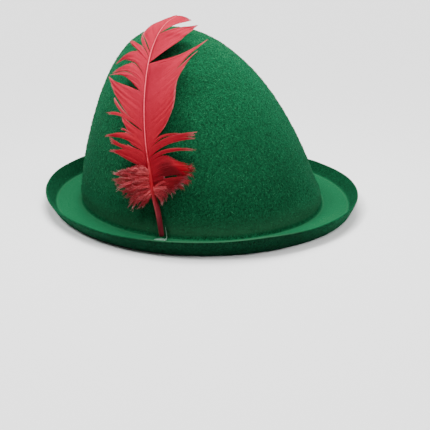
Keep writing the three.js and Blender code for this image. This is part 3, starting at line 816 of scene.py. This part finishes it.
# Tufts of the vanes. Each row is one barb: root = station on the shaft where it
# starts, its middle (station, distance from the shaft), its end (the same), and
# how far its end stands off the crown. Barbs between two rows are blended, and
# neighbouring tufts start close together, so that only their ends part.
FRONT = {
    "apron": [
        (32.6, 32.6, 9.6, 28.6, 17.4, 0.3), (34.2, 34.8, 11.6, 31.4, 22.0, 0.3), (35.6, 36.4, 12.8, 33.8, 25.6, 0.4),
        (37.2, 38.2, 12.8, 37.0, 28.2, 0.4),
    ],
    "web": [(36.9, 37.9, 5.4, 38.2, 10.4, 0.5), (37.3, 38.8, 5.6, 39.4, 10.6, 0.5), (37.6, 39.4, 5.6, 40.2, 10.4, 0.5)],
    "lobe_low": [
        (37.5, 40.2, 14.0, 37.8, 27.8, -2.6), (39.8, 43.4, 13.6, 40.0, 31.0, -3.0), (42.2, 46.0, 13.4, 43.4, 30.8, -3.0),
        (44.0, 47.8, 13.2, 45.8, 27.8, -2.2), (45.6, 49.7, 12.2, 47.4, 23.2, -1.2), (47.1, 51.4, 10.5, 50.2, 19.6, -0.5),
        (48.5, 52.8, 8.2, 53.0, 15.4, -0.2), (49.6, 53.4, 6.0, 54.3, 11.4, -0.1), (50.4, 53.7, 4.4, 55.0, 8.4, -0.1),
    ],
    "finger_low": [
        (50.8, 55.2, 14.6, 52.9, 34.8, 0.8), (51.7, 56.3, 14.8, 53.8, 36.8, 1.0), (52.6, 57.5, 14.4, 54.2, 34.6, 0.8),
    ],
    "finger_mid": [
        (53.4, 61.2, 16.0, 61.3, 36.0, 0.8), (54.4, 62.4, 16.0, 62.2, 37.2, 1.0), (55.4, 63.6, 15.8, 63.4, 36.2, 1.0),
        (56.2, 64.8, 15.2, 65.0, 37.8, 1.2), (56.8, 65.6, 14.6, 66.8, 39.8, 1.3),
    ],
    "finger_top": [
        (57.2, 66.0, 11.5, 66.4, 24.0, 0.5), (57.8, 67.0, 11.8, 66.6, 28.0, 0.7), (58.4, 67.6, 10.2, 67.2, 20.0, 0.5),
    ],
    "middle": [
        (58.7, 64.0, 5.4, 68.6, 9.8, 0.3), (62, 68.4, 8.4, 74.4, 15.5, 0.4), (66, 73.4, 11.2, 82.0, 19.8, 0.5),
        (71, 79.4, 13.2, 90.4, 22.8, 0.6), (77, 85.8, 14.2, 98.2, 23.6, 0.6), (83, 92.0, 14.6, 105.4, 23.8, 0.6),
        (88, 97.6, 15.4, 111.0, 24.6, 0.7), (92, 102.6, 16.8, 115.8, 26.4, 0.8), (95.5, 107.2, 18.2, 121.2, 28.4, 0.9),
        (98.5, 111.6, 19.6, 128.6, 31.2, 1.0), (100.2, 114.7, 20.4, 135.0, 33.9, 1.2), (101.0, 115.9, 20.6, 138.8, 35.4, 1.3),
    ],
    "point": [
        (101.4, 115.8, 20.2, 140.5, 31.8, 0.9), (104, 118.6, 20.8, 144.8, 34.4, 1.1), (108, 121.6, 21.8, 150.6, 37.0, 1.4),
        (112, 124.4, 22.4, 156.0, 38.1, 1.6), (116, 126.8, 22.6, 157.2, 38.3, 1.6), (119.5, 128.4, 22.4, 157.0, 38.3, 1.5),
        (121.5, 129.0, 21.6, 152.0, 36.4, 1.3), (122.8, 129.0, 20.2, 144.0, 32.8, 1.0), (123.4, 128.8, 17.0, 134.5, 26.2, 0.6),
    ],
    "upper": [
        (124.2, 134.5, 10.4, 147.0, 18.8, 0.8), (127, 139.6, 13.0, 155.0, 21.3, 1.0), (131, 145.2, 14.4, 163.0, 22.9, 1.2),
        (136, 151.2, 14.9, 169.6, 22.8, 1.4), (141, 156.2, 14.4, 176.0, 21.8, 1.5), (146, 157.8, 11.6, 170.0, 18.2, 1.2),
        (149, 156.4, 7.2, 164.0, 13.6, 0.8), (150.4, 154.0, 3.8, 158.4, 8.0, 0.4),
    ],
    "tip": [
        (151.2, 161.6, 5.9, 178.0, 13.8, 0.9), (155, 165.6, 5.6, 178.8, 11.6, 0.8), (160, 169.6, 4.8, 179.4, 8.8, 0.6),
        (166, 173.6, 3.5, 179.6, 5.8, 0.4), (172, 176.8, 2.1, 179.6, 3.2, 0.2), (177, 178.6, 0.7, 179.0, 1.2, 0.1),
    ],
}
BACK = {
    "low": [
        (43.6, 50.4, 7.6, 56.6, 16.2, 0.4), (45.2, 54.0, 10.8, 62.8, 26.4, 0.8), (47.2, 57.4, 13.0, 66.0, 32.3, 1.0),
        (49.6, 60.0, 13.4, 65.4, 28.0, 0.9), (52.0, 61.6, 11.4, 64.0, 21.4, 0.6), (53.8, 61.8, 8.4, 62.9, 15.8, 0.4),
    ],
    "second": [
        (54.2, 62.9, 15.8, 71.0, 30.6, 0.7), (55.6, 64.0, 16.2, 72.4, 31.4, 0.9), (57.0, 65.1, 16.5, 74.3, 31.6, 1.2),
        (58.2, 65.2, 15.6, 71.0, 28.0, 0.9), (58.4, 62.4, 8.2, 65.8, 15.4, 0.4),
    ],
    "long": [
        (58.6, 62.6, 6.4, 66.8, 12.2, 0.3), (58.85, 67.0, 11.0, 72.6, 17.4, 0.5), (59.1, 69.2, 14.2, 75.4, 24.0, 0.6),
        (59.5, 70.6, 15.2, 75.8, 35.2, 0.8), (60.2, 71.2, 15.3, 76.2, 36.7, 1.1), (61.0, 72.0, 14.8, 76.6, 35.6, 1.3),
        (61.8, 72.8, 13.0, 75.8, 24.0, 0.8),
        (62.6, 71.2, 9.0, 75.4, 17.6, 0.4),
    ],
    "curl": [(62.8, 73.2, 11.4, 78.4, 20.2, 1.0), (63.3, 74.0, 11.4, 79.0, 19.4, 1.2)],
    "lower_lobe": [
        (63.6, 69.0, 7.2, 74.4, 12.8, 0.3), (66, 72.8, 9.2, 80.0, 16.1, 0.4), (69.5, 77.2, 10.4, 85.0, 18.8, 0.5),
        (72, 80.0, 10.8, 88.2, 19.2, 0.5),
    ],
    "thin": [(72.4, 85.6, 16.4, 91.0, 32.4, 0.8), (73.1, 86.6, 16.8, 92.2, 34.6, 1.0), (73.8, 87.4, 16.4, 91.8, 29.8, 0.8)],
    "strip": [(74.2, 86.7, 16.0, 98.6, 26.4, 0.7), (75.0, 87.6, 15.8, 101.0, 27.2, 0.8), (75.8, 88.3, 15.3, 101.8, 26.9, 0.7)],
    "lobe": [
        (76.4, 88.7, 14.2, 102.4, 23.6, 0.5), (80, 91.8, 14.6, 104.8, 27.0, 0.6), (84, 95.6, 15.0, 108.2, 29.2, 0.7),
        (88, 99.8, 16.2, 112.6, 32.0, 0.9), (92, 104.2, 17.6, 118.6, 35.4, 1.2), (95, 106.1, 15.4, 115.6, 31.2, 1.1),
        (97, 106.0, 11.2, 111.4, 23.6, 0.8), (98.0, 104.2, 7.0, 108.0, 15.6, 0.5), (99.0, 102.4, 3.6, 104.8, 8.0, 0.3),
    ],
    "third_low": [
        (99.8, 107.8, 8.4, 116.8, 17.4, 0.5), (101, 110.6, 10.4, 119.5, 24.0, 0.8), (102.2, 113.2, 11.6, 119.9, 30.4, 1.0),
        (103.2, 115.0, 11.9, 119.6, 34.5, 1.2), (104.0, 116.2, 11.6, 120.4, 25.4, 0.9),
    ],
    "third_top": [
        (104.4, 116.9, 11.6, 121.6, 25.2, 0.8), (106.3, 119.2, 12.5, 120.6, 32.6, 1.2), (108, 120.9, 12.9, 123.2, 27.4, 1.0),
        (110, 122.4, 11.9, 124.7, 21.5, 0.7), (111.8, 122.6, 8.9, 125.8, 15.2, 0.4),
    ],
    "second_low": [(112.2, 122.6, 7.4, 126.8, 13.0, 0.3), (113.8, 125.0, 9.8, 128.4, 17.2, 0.5), (115, 127.0, 11.6, 129.4, 21.2, 0.7)],
    "second_top": [
        (115.4, 127.7, 12.4, 129.8, 24.4, 0.8), (117.2, 130.2, 14.4, 127.0, 30.9, 1.2), (119.6, 132.6, 14.4, 130.2, 27.4, 1.1),
        (122, 133.8, 11.4, 133.8, 22.3, 0.8), (124, 132.8, 7.0, 135.8, 12.8, 0.4),
    ],
    "blade": [
        (124.4, 133.8, 8.4, 140.6, 18.2, 0.6), (125.6, 135.6, 9.7, 145.4, 22.8, 1.1), (126.8, 137.3, 9.5, 145.2, 20.4, 1.0),
        (128, 137.2, 6.8, 141.2, 12.8, 0.4),
    ],
    "tip_low": [(128.6, 134.9, 3.8, 140.4, 8.9, 0.3), (130.4, 138.0, 5.4, 145.6, 12.0, 0.4), (132.2, 140.6, 6.0, 150.2, 13.0, 0.5)],
    "tip": [
        (133.0, 142.2, 5.5, 151.2, 13.0, 0.5), (138, 147.0, 6.3, 154.8, 12.4, 0.4), (145, 152.8, 6.1, 160.8, 10.6, 0.4),
        (153, 159.6, 4.8, 166.8, 6.4, 0.3), (161, 166.4, 3.4, 171.8, 4.2, 0.2), (169, 173.2, 2.0, 176.8, 2.4, 0.1),
        (176.5, 178.4, 0.7, 179.2, 1.0, 0.1),
    ],
}
PITCH = 0.36          # from barb to barb along the shaft
BARB_STEPS = 17
# how far a tuft's barbs come apart at their ends (0 to 1), and how strong the
# painted highlight on its bordering barbs is
FRAY = {"finger_low": 0.9, "finger_mid": 0.7, "finger_top": 0.7, "low": 0.5, "second": 0.9, "long": 0.7, "curl": 0.5,
        "thin": 0.4, "apron": 1.2, "lobe_low": 0.6, "blade": 0.4, "third_top": 0.3, "second_top": 0.3, "web": 0.2}
BORDER_HIGHLIGHT = {"finger_low": 0.35, "finger_mid": 0.3, "finger_top": 0.5, "low": 0.5, "apron": 0.0, "lobe": 1.3, "strip": 1.2,
          "web": 0.0}


def make_vane(name, tufts, side, node, seed):
    rng = np.random.default_rng(seed)
    paths, ups, widths, stations, reaches, tones, border_highlights, folds, painted_shades = [], [], [], [], [], [], [], [], []
    t = np.linspace(0, 1, BARB_STEPS)
    for tuft, rows in tufts.items():
        rows = np.array(rows, float)
        roots = rows[:, 0]
        fray, pale = FRAY.get(tuft, 0.1), BORDER_HIGHLIGHT.get(tuft, 0.8)
        # enough barbs to keep the tuft closed where it fans out
        fan = max(np.linalg.norm(np.diff(rows[:, k:k + 2], axis=0), axis=1).sum() for k in (1, 3))
        n = max(5, int(round((roots[-1] - roots[0]) / PITCH)), int(round(fan / 0.60)))
        # rows that lie far apart at their ends get more of the barbs
        gaps = np.linalg.norm(np.diff(rows[:, 3:5], axis=0), axis=1) + 0.8 * np.diff(roots)
        knots = np.concatenate([[0], np.cumsum(gaps)])
        where = np.linspace(0, knots[-1], n)
        blend = (lambda c: hermite(knots, c)(where)) if len(rows) > 2 else (lambda c: np.interp(where, knots, c))
        at, mid_u, mid_v, end_u, end_v, curl = (blend(rows[:, k]) for k in range(6))
        at = np.interp(where, knots, roots)
        border = np.minimum(np.arange(n), np.arange(n)[::-1])
        slow = np.array([noise.noise(Vector((a * 0.16, seed * 3.7, len(tuft) * 1.7))) for a in where])
        start = SHAFT_LINE.radius(at - QUILL_START) * 0.3
        u_all, v_all = [], []
        for k in range(n):
            f = t * (1 + rng.normal(0, 0.006) - 0.045 * fray * abs(rng.normal()) + 0.012 * slow[k])
            weights = (1 - f) * (1 - 2 * f), 4 * f * (1 - f), f * (2 * f - 1)
            splay = rng.normal(0, 0.55) * fray * t**5
            u_all.append(at[k] * weights[0] + mid_u[k] * weights[1] + end_u[k] * weights[2] + splay)
            v_all.append(start[k] * weights[0] + mid_v[k] * weights[1] + end_v[k] * weights[2])
        u_all, v_all = np.array(u_all), np.array(v_all)
        # half the distance to the neighbours, at every step along the barb
        apart = np.hypot(np.gradient(u_all, axis=0), np.gradient(v_all, axis=0))
        tangent = np.stack([np.gradient(u_all, axis=1), np.gradient(v_all, axis=1)], -1)
        tangent = unit(tangent)
        crossing = np.abs(np.gradient(u_all, axis=0) * tangent[..., 1] - np.gradient(v_all, axis=0) * tangent[..., 0])
        apart = np.clip(np.minimum(apart, crossing), 0.10, 0.80)
        for k in range(n):
            stray = rng.normal(0, 0.018)
            reach_out = np.clip(v_all[k] / 25, 0, 1.4)
            lift = (curl[k] * t**2.2 + 0.30 * slow[k] * t + stray * t
                    + 0.5 * np.sin(np.pi * t) * np.clip(end_v[k] / 25, 0, 1) + 1.8 * reach_out**2)
            if side > 0 and curl[k] > 0:
                # the front vane's edge stands off and shades the crown
                lift = lift + 1.3 * np.clip((v_all[k] - 12) / 13, 0, 1.2)
            if tuft in ("apron", "web"):
                # it lies over the down
                lift = lift + 2.4 * np.sin(np.pi * t * 0.75)
            if curl[k] < 0:
                # a lobe whose end rolls over: a ridge, then down towards the felt
                lift = lift - curl[k] * (np.sin(np.pi * t**1.7) + t**2.2) - 0.9 * reach_out**2
            q, nrm = on_crown(u_all[k], side * v_all[k])
            paths.append(raised(q, nrm, lift))
            ups.append(nrm)
            fade = np.interp(t, [0, 0.93 - 0.22 * fray, 1.0], [1, 1, 0.45 - 0.22 * min(fray, 1)])
            widths.append((apart[k] * 0.72 + 0.07) * fade)
            stations.append(np.full(BARB_STEPS, at[k] / 180))
            reaches.append(t)
            tones.append(np.clip(0.5 + 0.09 * slow[k] + rng.normal(0, 0.022), 0, 1))
            fold = np.clip(-curl[k] / 2.2, 0, 1)
            # painted highlight on the outer part of barbs that border a split, none on the fold
            border_highlights.append(pale * max(0.0, 1 - border[k] / 1.5) * smoothstep(0.30, 0.85, t) * (1 - fold))
            # the bright fold begins nearer the shaft on its upper barbs
            begin = np.interp(at[k], [38, 40, 42.5, 45, 48], [0.80, 0.70, 0.64, 0.68, 0.84])
            folds.append(fold * smoothstep(begin, begin + 0.12, t) * (1 - 0.5 * smoothstep(0.95, 1.0, t)))
            # painted shade in the hollow under the ridge of a rolled lobe, and over the apron and web
            hollow = fold**0.5 * np.interp(at[k], [38, 44.5, 48], [1, 1, 0.5])
            painted_shades.append(hollow * smoothstep(0.12, 0.45, t) * (1 - smoothstep(begin - 0.06, begin + 0.08, t))
                        + (0.35 if tuft in ("apron", "web") else 0))
    points = np.stack(paths)
    up = np.stack(ups)
    along = np.gradient(points, axis=1)
    along = unit(along)
    flat = unit(np.cross(along, up))
    up = unit(np.cross(flat, along))
    # neighbouring barbs overlap like tiles, each tipped a little
    tip = math.radians(6)
    flat2 = flat * math.cos(tip) + up * math.sin(tip) * side
    up2 = -flat * math.sin(tip) * side + up * math.cos(tip)
    verts, faces, tone = thread(points, np.stack(widths), 4, flat2, up2, np.array(tones), flat=0.22)
    attributes = {
        "tone": tone,
        "station": np.repeat(np.stack(stations).ravel(), 4),
        "reach": np.repeat(np.stack(reaches).ravel(), 4),
        "rim": np.repeat(np.stack(border_highlights).ravel(), 4),
        "fold": np.repeat(np.stack(folds).ravel(), 4),
        "dim": np.repeat(np.stack(painted_shades).ravel(), 4),
    }
    obj = make_object(name, verts, faces, attributes=attributes)
    obj.data.materials.append(BARB_MAT)
    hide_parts(node)
    return obj


make_vane("vane_front", FRONT, 1, "feather_vane_front", 21)
make_vane("vane_back", BACK, -1, "feather_vane_back", 22)


def make_shaft():
    sides, steps = 20, 220
    s = np.linspace(QUILL_START, QUILL_START + SHAFT_LINE.length, steps)
    point, along, away, across = SHAFT_LINE.frame(s)
    # slimmer than the stiff core where the barbs close over its sides
    r = SHAFT_LINE.radius(s - QUILL_START) * (1 - 0.50 * smoothstep(32, 60, s) + 0.10 * smoothstep(90, 120, s))
    turn = np.arange(sides) / sides * TAU
    # the painted highlight along the ridge: left of the middle on the bare quill, then
    # narrow, then wide
    low = np.interp(s, [0, 34, 46, 60, 80, 120], [0.72, 0.75, 0.86, 0.76, 0.50, 0.0])[:, None]
    tilt = np.interp(s, [0, 20, 34, 46], [-0.9, -0.75, -0.5, 0.0])[:, None]
    ridge = smoothstep(low, low + 0.25, np.sin(turn[None] + tilt))
    broken = np.array([noise.noise(Vector((a * 0.55, 3.1, 0.7))) for a in s])[:, None]
    ridge = ridge * np.clip(1 + 1.6 * broken * smoothstep(36, 44, s)[:, None] * (1 - smoothstep(56, 66, s)[:, None]), 0.1, 1)
    # round below, squarer and grooved underneath along the vane
    square = smoothstep(30, 60, s)[:, None]
    c, n = np.cos(turn)[None], np.sin(turn)[None]
    shape = 1 + square * 0.10 * np.cos(4 * turn)[None]
    groove = 1 - square * 0.22 * np.exp(-((turn[None] - 1.5 * math.pi) / 0.35) ** 2)
    rr = r[:, None] * shape * groove
    round_end = np.clip((s - s[0]) / 1.2, 0, 1) ** 0.5
    rr = rr * (0.72 + 0.28 * round_end)[:, None]
    verts = (point[:, None] + across[:, None] * (rr * c)[..., None] + away[:, None] * (rr * n)[..., None]).reshape(-1, 3)
    k, q = np.meshgrid(np.arange(steps - 1), np.arange(sides), indexing="ij")
    a = k * sides + q
    b = k * sides + (q + 1) % sides
    quads = np.stack([a, b, b + sides, a + sides], -1).reshape(-1, 4)
    ends = [np.arange(sides)[::-1], (steps - 1) * sides + np.arange(sides)]
    way = (np.cross(across[10], away[10]) * along[10]).sum()
    faces = [quads, np.stack(ends)]
    if way < 0:
        faces = [f[:, ::-1] for f in faces]
    obj = make_object("feather_quill", verts, faces,
                      attributes={"station": np.repeat(s / 180, sides), "ridge": ridge.ravel()})
    obj.data.materials.append(SHAFT_MAT)
    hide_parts("feather_shaft")


make_shaft()

# Down: locks of fluffy filaments. Each row: root station, then the lock's
# middle and its end (station, distance from the shaft).
DOWN_FRONT = [
    (29.6, 25.6, 3.4, 19.4, 3.1), (30.6, 27.4, 5.8, 21.0, 6.8), (31.4, 29.4, 8.2, 22.8, 11.0), (32.2, 31.2, 10.2, 24.9, 15.4),
    (32.6, 32.2, 12.0, 27.0, 19.6), (33.0, 33.0, 13.8, 30.0, 23.4), (33.6, 34.0, 15.0, 32.6, 26.4),
]
# short hairs round the end of the rolled lobe; the sixth value is how far from
# the shaft they begin
DOWN_FRINGE = [
    (30.6, 28.6, 20.6, 26.2, 22.2, 18.0), (33.0, 31.4, 24.0, 29.2, 26.2, 21.0), (35.2, 34.0, 27.0, 32.2, 29.2, 24.0),
    (37.6, 36.8, 29.0, 35.2, 31.2, 26.0), (40.0, 39.6, 30.6, 38.4, 32.8, 28.0), (42.0, 42.2, 31.0, 41.8, 33.2, 28.6),
    (43.8, 45.0, 29.6, 45.2, 31.4, 27.6),
]
# and strands between the lobe and the tuft below it, outside the small hole
DOWN_WEB = [
    (36.6, 35.6, 22.6, 33.6, 26.0, 19.2), (38.0, 37.2, 23.0, 35.2, 27.2, 19.4), (39.4, 39.0, 23.4, 37.0, 28.4, 19.6),
]
DOWN_BACK = [
    (29.6, 27.2, 4.0, 24.0, 8.4), (30.2, 26.4, 7.2, 21.6, 13.6), (30.9, 27.2, 9.6, 23.2, 18.6), (31.6, 28.6, 11.6, 24.4, 22.8),
    (32.8, 31.2, 12.2, 29.4, 23.6), (34.2, 33.6, 13.6, 33.4, 26.8), (35.8, 36.0, 15.0, 36.4, 29.4), (37.4, 38.4, 15.8, 40.8, 30.4),
    (39.0, 41.2, 16.8, 45.2, 34.2), (40.6, 44.2, 17.0, 48.0, 34.0), (42.2, 47.0, 16.0, 50.4, 31.0), (43.6, 49.0, 13.0, 49.6, 23.0),
    (44.8, 49.2, 9.0, 49.8, 15.4), (45.8, 49.0, 5.4, 49.8, 9.2),
]


def curve3(a, b, c, t):
    return a * (1 - t) * (1 - 2 * t) + b * 4 * t * (1 - t) + c * t * (2 * t - 1)


def make_down(name, rows, side, node, seed, locks, strands=13, shade=0.0):
    rng = np.random.default_rng(seed)
    rows = np.array([(*row, 0.7)[:6] for row in rows], float)
    steps = 14
    t = np.linspace(0, 1, steps)
    gaps = np.linalg.norm(np.diff(rows[:, 3:5], axis=0), axis=1) + 0.5
    knots = np.concatenate([[0], np.cumsum(gaps)])
    columns = [hermite(knots, rows[:, k]) for k in range(6)]
    paths, ups, reaches, tones, sizes = [], [], [], [], []
    for k in range(locks):
        # the long locks lie below, shorter ones over them; the lower ones are darker,
        # painted shade
        layer = k % 3
        at = (k // 3 + 0.5 + rng.normal(0, 0.28)) / math.ceil(locks / 3) * knots[-1]
        at = min(max(at, 0), knots[-1])
        root, mu, mv, eu, ev, inner = (float(c(at)) for c in columns)
        full = (1.0, 0.80, 0.60)[layer] * (1 + rng.normal(0, 0.055))
        f = t * full
        u = curve3(root + rng.normal(0, 0.35), mu, eu, f)
        v = curve3(inner, mv, ev, f)
        tangent = unit(np.stack([np.gradient(u), np.gradient(v)], -1))
        nu, nv = -tangent[:, 1], tangent[:, 0]
        size = max(0.35, math.hypot(eu - root, ev - inner) / 30)
        sway = rng.normal(0, 1.3) * size * np.sin(np.pi * t) ** 1.3
        wave = rng.normal(0, 0.9) * size * np.sin(2 * np.pi * t * (0.9 + 0.6 * rng.random()) + rng.random() * 1.2) * t
        hook = rng.normal(0, 1.7) * size * np.clip(t - 0.65, 0, 1) ** 2 * 9
        u, v = u + nu * (sway + wave + hook), v + nv * (sway + wave + hook)
        lift = ((0.7, 1.6, 2.5)[layer] * np.sin(np.pi * np.clip(t * 0.75 + 0.1, 0, 1))
                + rng.normal(0, 0.45) * t + 0.5 * rng.normal() * np.sin(2 * np.pi * t))
        # painted shade: the lower layers of locks are darker
        lock_tone = np.clip(0.34 + 0.12 * layer + rng.normal(0, 0.12) - shade, 0, 1)
        width = (0.95 + 0.35 * rng.random()) * size
        for s in range(strands):
            off = (s / (strands - 1) - 0.5) * 2 + rng.normal(0, 0.18)
            # strands open out along the lock, close at its end, a few stray
            spread = width * np.interp(t, [0, 0.2, 0.6, 0.9, 1], [0.35, 0.6, 1.0, 0.55, 0.25])
            stray = rng.normal(0, 1.0) * np.clip(t - 0.5, 0, 1) ** 1.5 * (2.6 if rng.random() < 0.3 else 0.9) * size
            shift = off * spread + stray
            cut = 1 - 0.16 * abs(off) - 0.12 * rng.random()
            uu = np.interp(t * cut, t, u + nu * shift)
            vv = np.interp(t * cut, t, v + nv * shift)
            height = np.interp(t * cut, t, lift) + 0.35 * (1 - off * off) * np.sin(np.pi * t) + rng.normal(0, 0.12) * t
            q, nrm = on_crown(uu, side * vv)
            q = raised(q, nrm, height)
            q = q + nrm * np.maximum(0.45 - crown_distance(q), 0)[:, None]
            paths.append(q)
            ups.append(nrm)
            reaches.append(t * cut * full)
            pale = 0.36 if rng.random() < 0.15 else 0.0
            tones.append(np.clip(lock_tone + 0.10 - 0.20 * abs(off) + rng.normal(0, 0.08) + pale, 0, 1))
            sizes.append(0.125 + 0.05 * rng.random() + 0.04 * (1 - abs(off)))
    points, up_v = np.stack(paths), np.stack(ups)
    count = len(points)
    along = unit(np.gradient(points, axis=1))
    flat = unit(np.cross(along, up_v))
    up_v = unit(np.cross(flat, along))
    tone = np.array(tones)
    verts, faces, tones_v = thread(points, np.array(sizes), 3, flat, up_v, tone, taper=(1.5, 1.2, 1.0, 0.85, 0.45))
    reach_attr = np.repeat(np.stack(reaches).ravel(), 3)
    # short side hairs all along each filament
    hairs, hair_side, hair_up, hair_tone, hair_reach = [], [], [], [], []
    for k in range(count):
        for m in range(6):
            f = 0.22 + 0.76 * (m + rng.random()) / 6
            x = f * (steps - 1)
            a = int(min(x, steps - 2))
            p = points[k, a] * (1 - (x - a)) + points[k, a + 1] * (x - a)
            direction = along[k, a] * 0.95 + flat[k, a] * (1 if m % 2 else -1) * 0.6 + up_v[k, a] * rng.normal(0, 0.35)
            direction = direction / np.linalg.norm(direction)
            size = 1.0 + 1.3 * rng.random()
            bend = up_v[k, a] * rng.normal(0, 0.3) + along[k, a] * 0.3
            hairs.append(np.stack([p, p + direction * size * 0.5, p + (direction + bend * 0.4) * size]))
            hair_side.append(flat[k, a])
            hair_up.append(np.cross(direction, flat[k, a]))
            hair_tone.append(tone[k])
            hair_reach.append(min(1.0, reaches[k][a] + 0.15))
    hair_points = np.stack(hairs)
    hup = unit(np.array(hair_up))
    hdir = unit(hair_points[:, 2] - hair_points[:, 0])
    hside = unit(np.cross(hdir, hup))
    hup = unit(np.cross(hside, hdir))
    hv, hf, ht = thread(hair_points, np.full(len(hairs), 0.05), 3, hside, hup, np.array(hair_tone), taper=(1.0, 0.8, 0.4))
    offset = len(verts)
    verts = np.concatenate([verts, hv])
    faces = [faces[0], faces[1], hf[0] + offset, hf[1] + offset]
    attributes = {
        "tone": np.concatenate([tones_v, ht]),
        "reach": np.concatenate([reach_attr, np.repeat(np.array(hair_reach), 9)]),
    }
    obj = make_object(name, verts, faces, attributes=attributes)
    obj.data.materials.append(DOWN_MAT)
    if node:
        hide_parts(node)
    return obj


make_down("down_front", DOWN_FRONT, 1, "feather_down_front", 31, 51, shade=-0.18)
make_down("down_fringe", DOWN_FRINGE, 1, None, 35, 18, strands=4, shade=0.0)
make_down("down_web", DOWN_WEB, 1, None, 36, 12, strands=6, shade=0.10)
make_down("down_back", DOWN_BACK, -1, "feather_down_back", 33, 78, shade=-0.18)

# ------------------------------------------------------------------------ glue


def make_glue():
    rings, count = 16, 40
    verts, theta = [], np.linspace(0, TAU, count, endpoint=False)
    turn = math.radians(-52)
    for i in range(rings + 1):
        lat = math.pi * i / rings
        for a in theta:
            x, y, z = math.sin(lat) * math.cos(a), math.sin(lat) * math.sin(a), math.cos(lat)
            lump = 1 + 0.16 * noise.noise(Vector((x * 1.7, y * 1.7, z + 4)))
            p = Vector((x * 4.4 * lump, y * 1.9 * lump, z * 0.75))
            p.rotate(Matrix.Rotation(turn, 3, "Z"))
            verts.append((p.x - 86.9, p.y - 45.4, max(p.z, -0.7) + 3.0))
    verts = np.array(verts).reshape(rings + 1, count, 3)
    body = verts[1:-1].reshape(-1, 3)
    pts = np.concatenate([verts[0, :1], body, verts[-1, :1]])
    i, j = np.meshgrid(np.arange(rings - 2), np.arange(count), indexing="ij")
    a = 1 + i * count + j
    b = 1 + i * count + (j + 1) % count
    quads = np.stack([a, a + count, b + count, b], -1).reshape(-1, 4)
    jj = np.arange(count)
    nj = (jj + 1) % count
    last = 1 + (rings - 2) * count
    top = np.stack([np.zeros(count, int), 1 + jj, 1 + nj], -1)
    low = np.stack([np.full(count, len(pts) - 1), last + nj, last + jj], -1)
    obj = make_object("glue_puddle", pts, [quads, top, low])
    obj.data.materials.append(GLUE_MAT)
    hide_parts("glue_dab")
    # a drawn-out string of glue up beside the quill
    path = np.array([(-85.6, -48.2, 3.2), (-83.4, -48.4, 3.9), (-82.4, -47.4, 6.2), (-81.6, -46.2, 9.0), (-81.3, -45.2, 11.6)])
    fine = resample(path, 0.4)
    lift = crown_distance(fine)
    fine = fine + crown_normal(fine) * np.maximum(0.55 - lift, 0)[:, None]
    along = unit(np.gradient(fine, axis=0))
    nrm = crown_normal(fine)
    flat = unit(np.cross(along, nrm))
    nrm = unit(np.cross(flat, along))
    r = np.interp(np.linspace(0, 1, len(fine)), [0, 0.15, 0.6, 1], [0.6, 0.34, 0.24, 0.09])[None]
    v, f, _ = thread(fine[None], r, 8, flat[None], nrm[None], np.zeros(1))
    string = make_object("glue_string", v, f)
    string.data.materials.append(GLUE_MAT)


make_glue()
